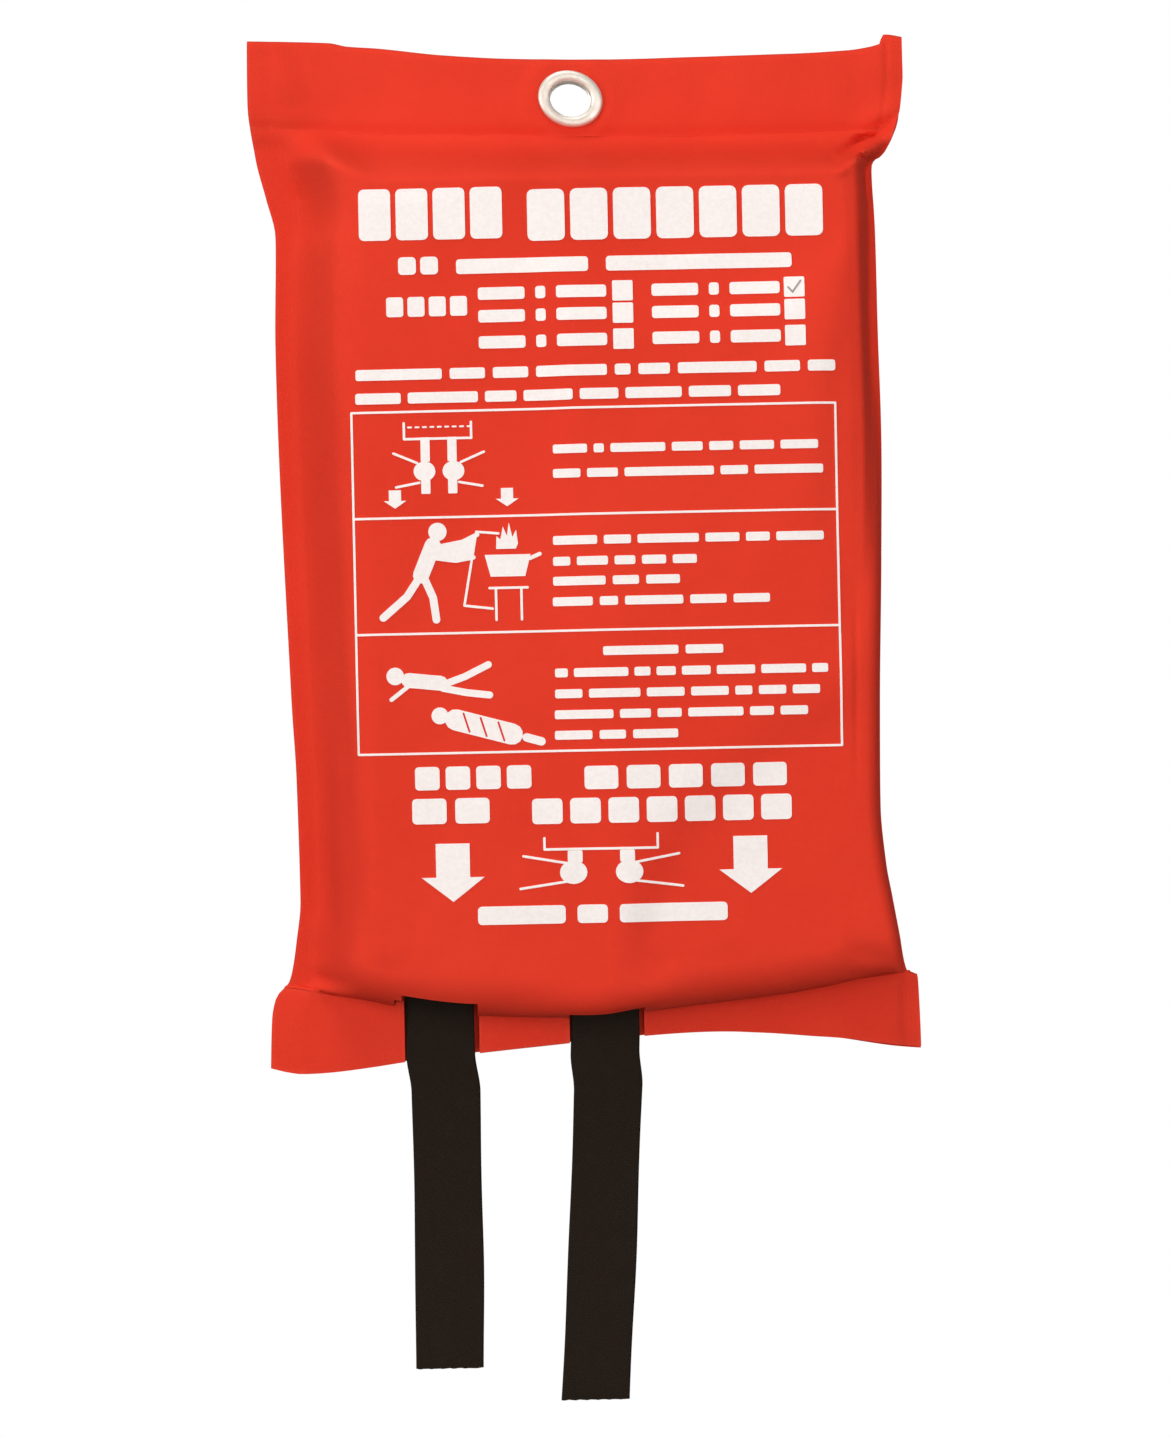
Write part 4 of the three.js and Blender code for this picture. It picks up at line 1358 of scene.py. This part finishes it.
def release_print(surface):
    shapes = letter_blocks(-49.4, -16.5, -65.1, 6.6, 4) + letter_blocks(-1.5, 55.7, -65.7, 6.6, 5)
    shapes += letter_blocks(-50.4, -28.5, -74.4, 7.2, 2) + letter_blocks(-16.5, 56.9, -75.0, 7.2, 7)
    printed("print_release_blocks", shapes, surface)
    arrows = [down_arrow(-39.2, -83.6, -100.1, 17.8), down_arrow(45, -83.1, -99.3, 17.8)]
    printed("print_down_arrows", arrows, surface)
    lines = strokes(0.7, [(-13.2, -82.6), (-13.2, -85.8), (18.8, -85.8), (18.8, -81.8)])
    hands = []
    for x, side in ((-4.6, -1), (10.2, 1)):
        hands.append(rectangle(x - 2.1, x + 2.1, -89.6, -86.2, 0.4))
        hands.append(disc(x + 0.5 * side, -92.4, 3.9, 0.85))
        upper_ray = [(x + 2.2 * side, -89.8), (x + 14.6 * side, -87.6)]
        lower_ray = [(x + 2.6 * side, -95.0), (x + 15.6 * side, -96.8)]
        lines += strokes(0.7, upper_ray, lower_ray)
    printed("print_small_pull_sign", lines + hands, surface)
    printed("print_last_bars", word_bars(-32.4, 38.2, -104.2, 5.2, [26, 9, 32], 3.5), surface)


# ---- Stage ----

PHOTO_HEIGHT_AT_WALL = 0.4167  # metres of the wall plane that the picture's height spans
CAMERA_DISTANCE = 1.0
CAMERA_PLACE = (-0.001, -CAMERA_DISTANCE, -0.049)
PHOTO_TURN = math.radians(1.2)  # the object stands this much anticlockwise in the picture
SKY_ABOVE = 0.2  # how strongly the sky lights the object from straight above
SKY_BELOW = 0.05
MIDDLE_OF_POUCH = Vector((0, 0, -0.03))
LIGHTS = {  # place in metres, size in metres, watts
    "left_light": ((-1.5, -0.8, 0.2), 0.9, 13),
    "front_left_light": ((-0.9, -1.6, 0.3), 1.0, 4),
    "top_light": ((-0.2, -0.55, 1.3), 0.8, 8.5),
    "right_light": ((1.2, -1.2, 0.1), 1.0, 5),
    "low_right_light": ((0.8, -1.0, -0.7), 0.8, 3),
    "front_light": ((0.3, -1.9, -0.05), 1.0, 9.5),
    "back_light": ((-0.2, 1.8, 0.7), 1.0, 18),
}


def camera():
    """The view of the photo, from in front and level."""
    data = bpy.data.cameras.new("camera")
    data.sensor_width = 36
    data.lens = data.sensor_width * CAMERA_DISTANCE / PHOTO_HEIGHT_AT_WALL
    made = bpy.data.objects.new("camera", data)
    scene.collection.objects.link(made)
    turn = Matrix.Rotation(math.pi / 2, 4, "X") @ Matrix.Rotation(-PHOTO_TURN, 4, "Z")
    made.matrix_world = Matrix.Translation(CAMERA_PLACE) @ turn
    scene.camera = made


def area_light(name, place, size, power):
    data = bpy.data.lights.new(name, "AREA")
    data.size = size
    data.energy = power
    made = bpy.data.objects.new(name, data)
    made.location = place
    direction = MIDDLE_OF_POUCH - Vector(place)
    made.rotation_euler = direction.to_track_quat("-Z", "Y").to_euler()
    scene.collection.objects.link(made)


def studio():
    """White to the camera, and to the object a soft pale sky, brighter above than below."""
    world = bpy.data.worlds.new("studio")
    scene.world = world
    world.use_nodes = True
    sky = Nodes(world.node_tree)
    direction = sky.node("TexCoord").outputs["Generated"]
    height = sky.node("SeparateXYZ", {"Vector": direction}).outputs["Z"]
    seen = sky.node("LightPath").outputs["Is Camera Ray"]
    glow = sky.span(height, -1, 1, SKY_BELOW, SKY_ABOVE)
    strength = sky.node("Mix", {"Factor": seen, "A": glow, "B": 1.0}).outputs["Result"]
    background = sky.tree.nodes["Background"]
    sky.feed(background.inputs["Color"], (1, 1, 1, 1))
    sky.feed(background.inputs["Strength"], strength)
    for name, light in LIGHTS.items():
        area_light(name, *light)
    scene.view_settings.view_transform = "Standard"


def floor():
    """A pale round floor that lies below the blanket even when it is pulled right out."""
    level = -560
    angles = np.linspace(0, 2 * np.pi, 128, endpoint=False)
    rings = []
    for radius, drop in ((1290, 12), (1300, 6), (1296, 1), (1285, 0), (900, 0), (450, 0), (40, 0)):
        rings.append(at(radius * np.cos(angles), radius * np.sin(angles), level - drop))
    s = Shader("pale_floor")
    grain = s.noise(30, 4)
    tone = s.mix(grain, srgb(236, 236, 236), srgb(244, 244, 244))
    rough = s.span(grain, 0, 1, 0.6, 0.75)
    material = s.finish(color=tone, roughness=rough, normal=s.relief(grain, 0.0004, 0.2))
    made = make_object("studio_floor", tube(rings), material)
    made.visible_diffuse = False  # the floor throws no light up at the pouch


# ---- Assembly ----

front_surface = front_sheet()
header_band()
back_sheet()
eyelet_and_washer()
loop_patches()
hook_patches()
folded_blanket()
hem_stitching()
for order, tape_side in enumerate(TAPES):
    pull_tape(tape_side, 40 + order)
    box_stitching(tape_side)
for print_on in (
    title_print, size_table_print, notice_print, instruction_print,
    pull_sign, cover_sign, wrap_sign, release_print,
):
    print_on(front_surface)
camera()
studio()
floor()
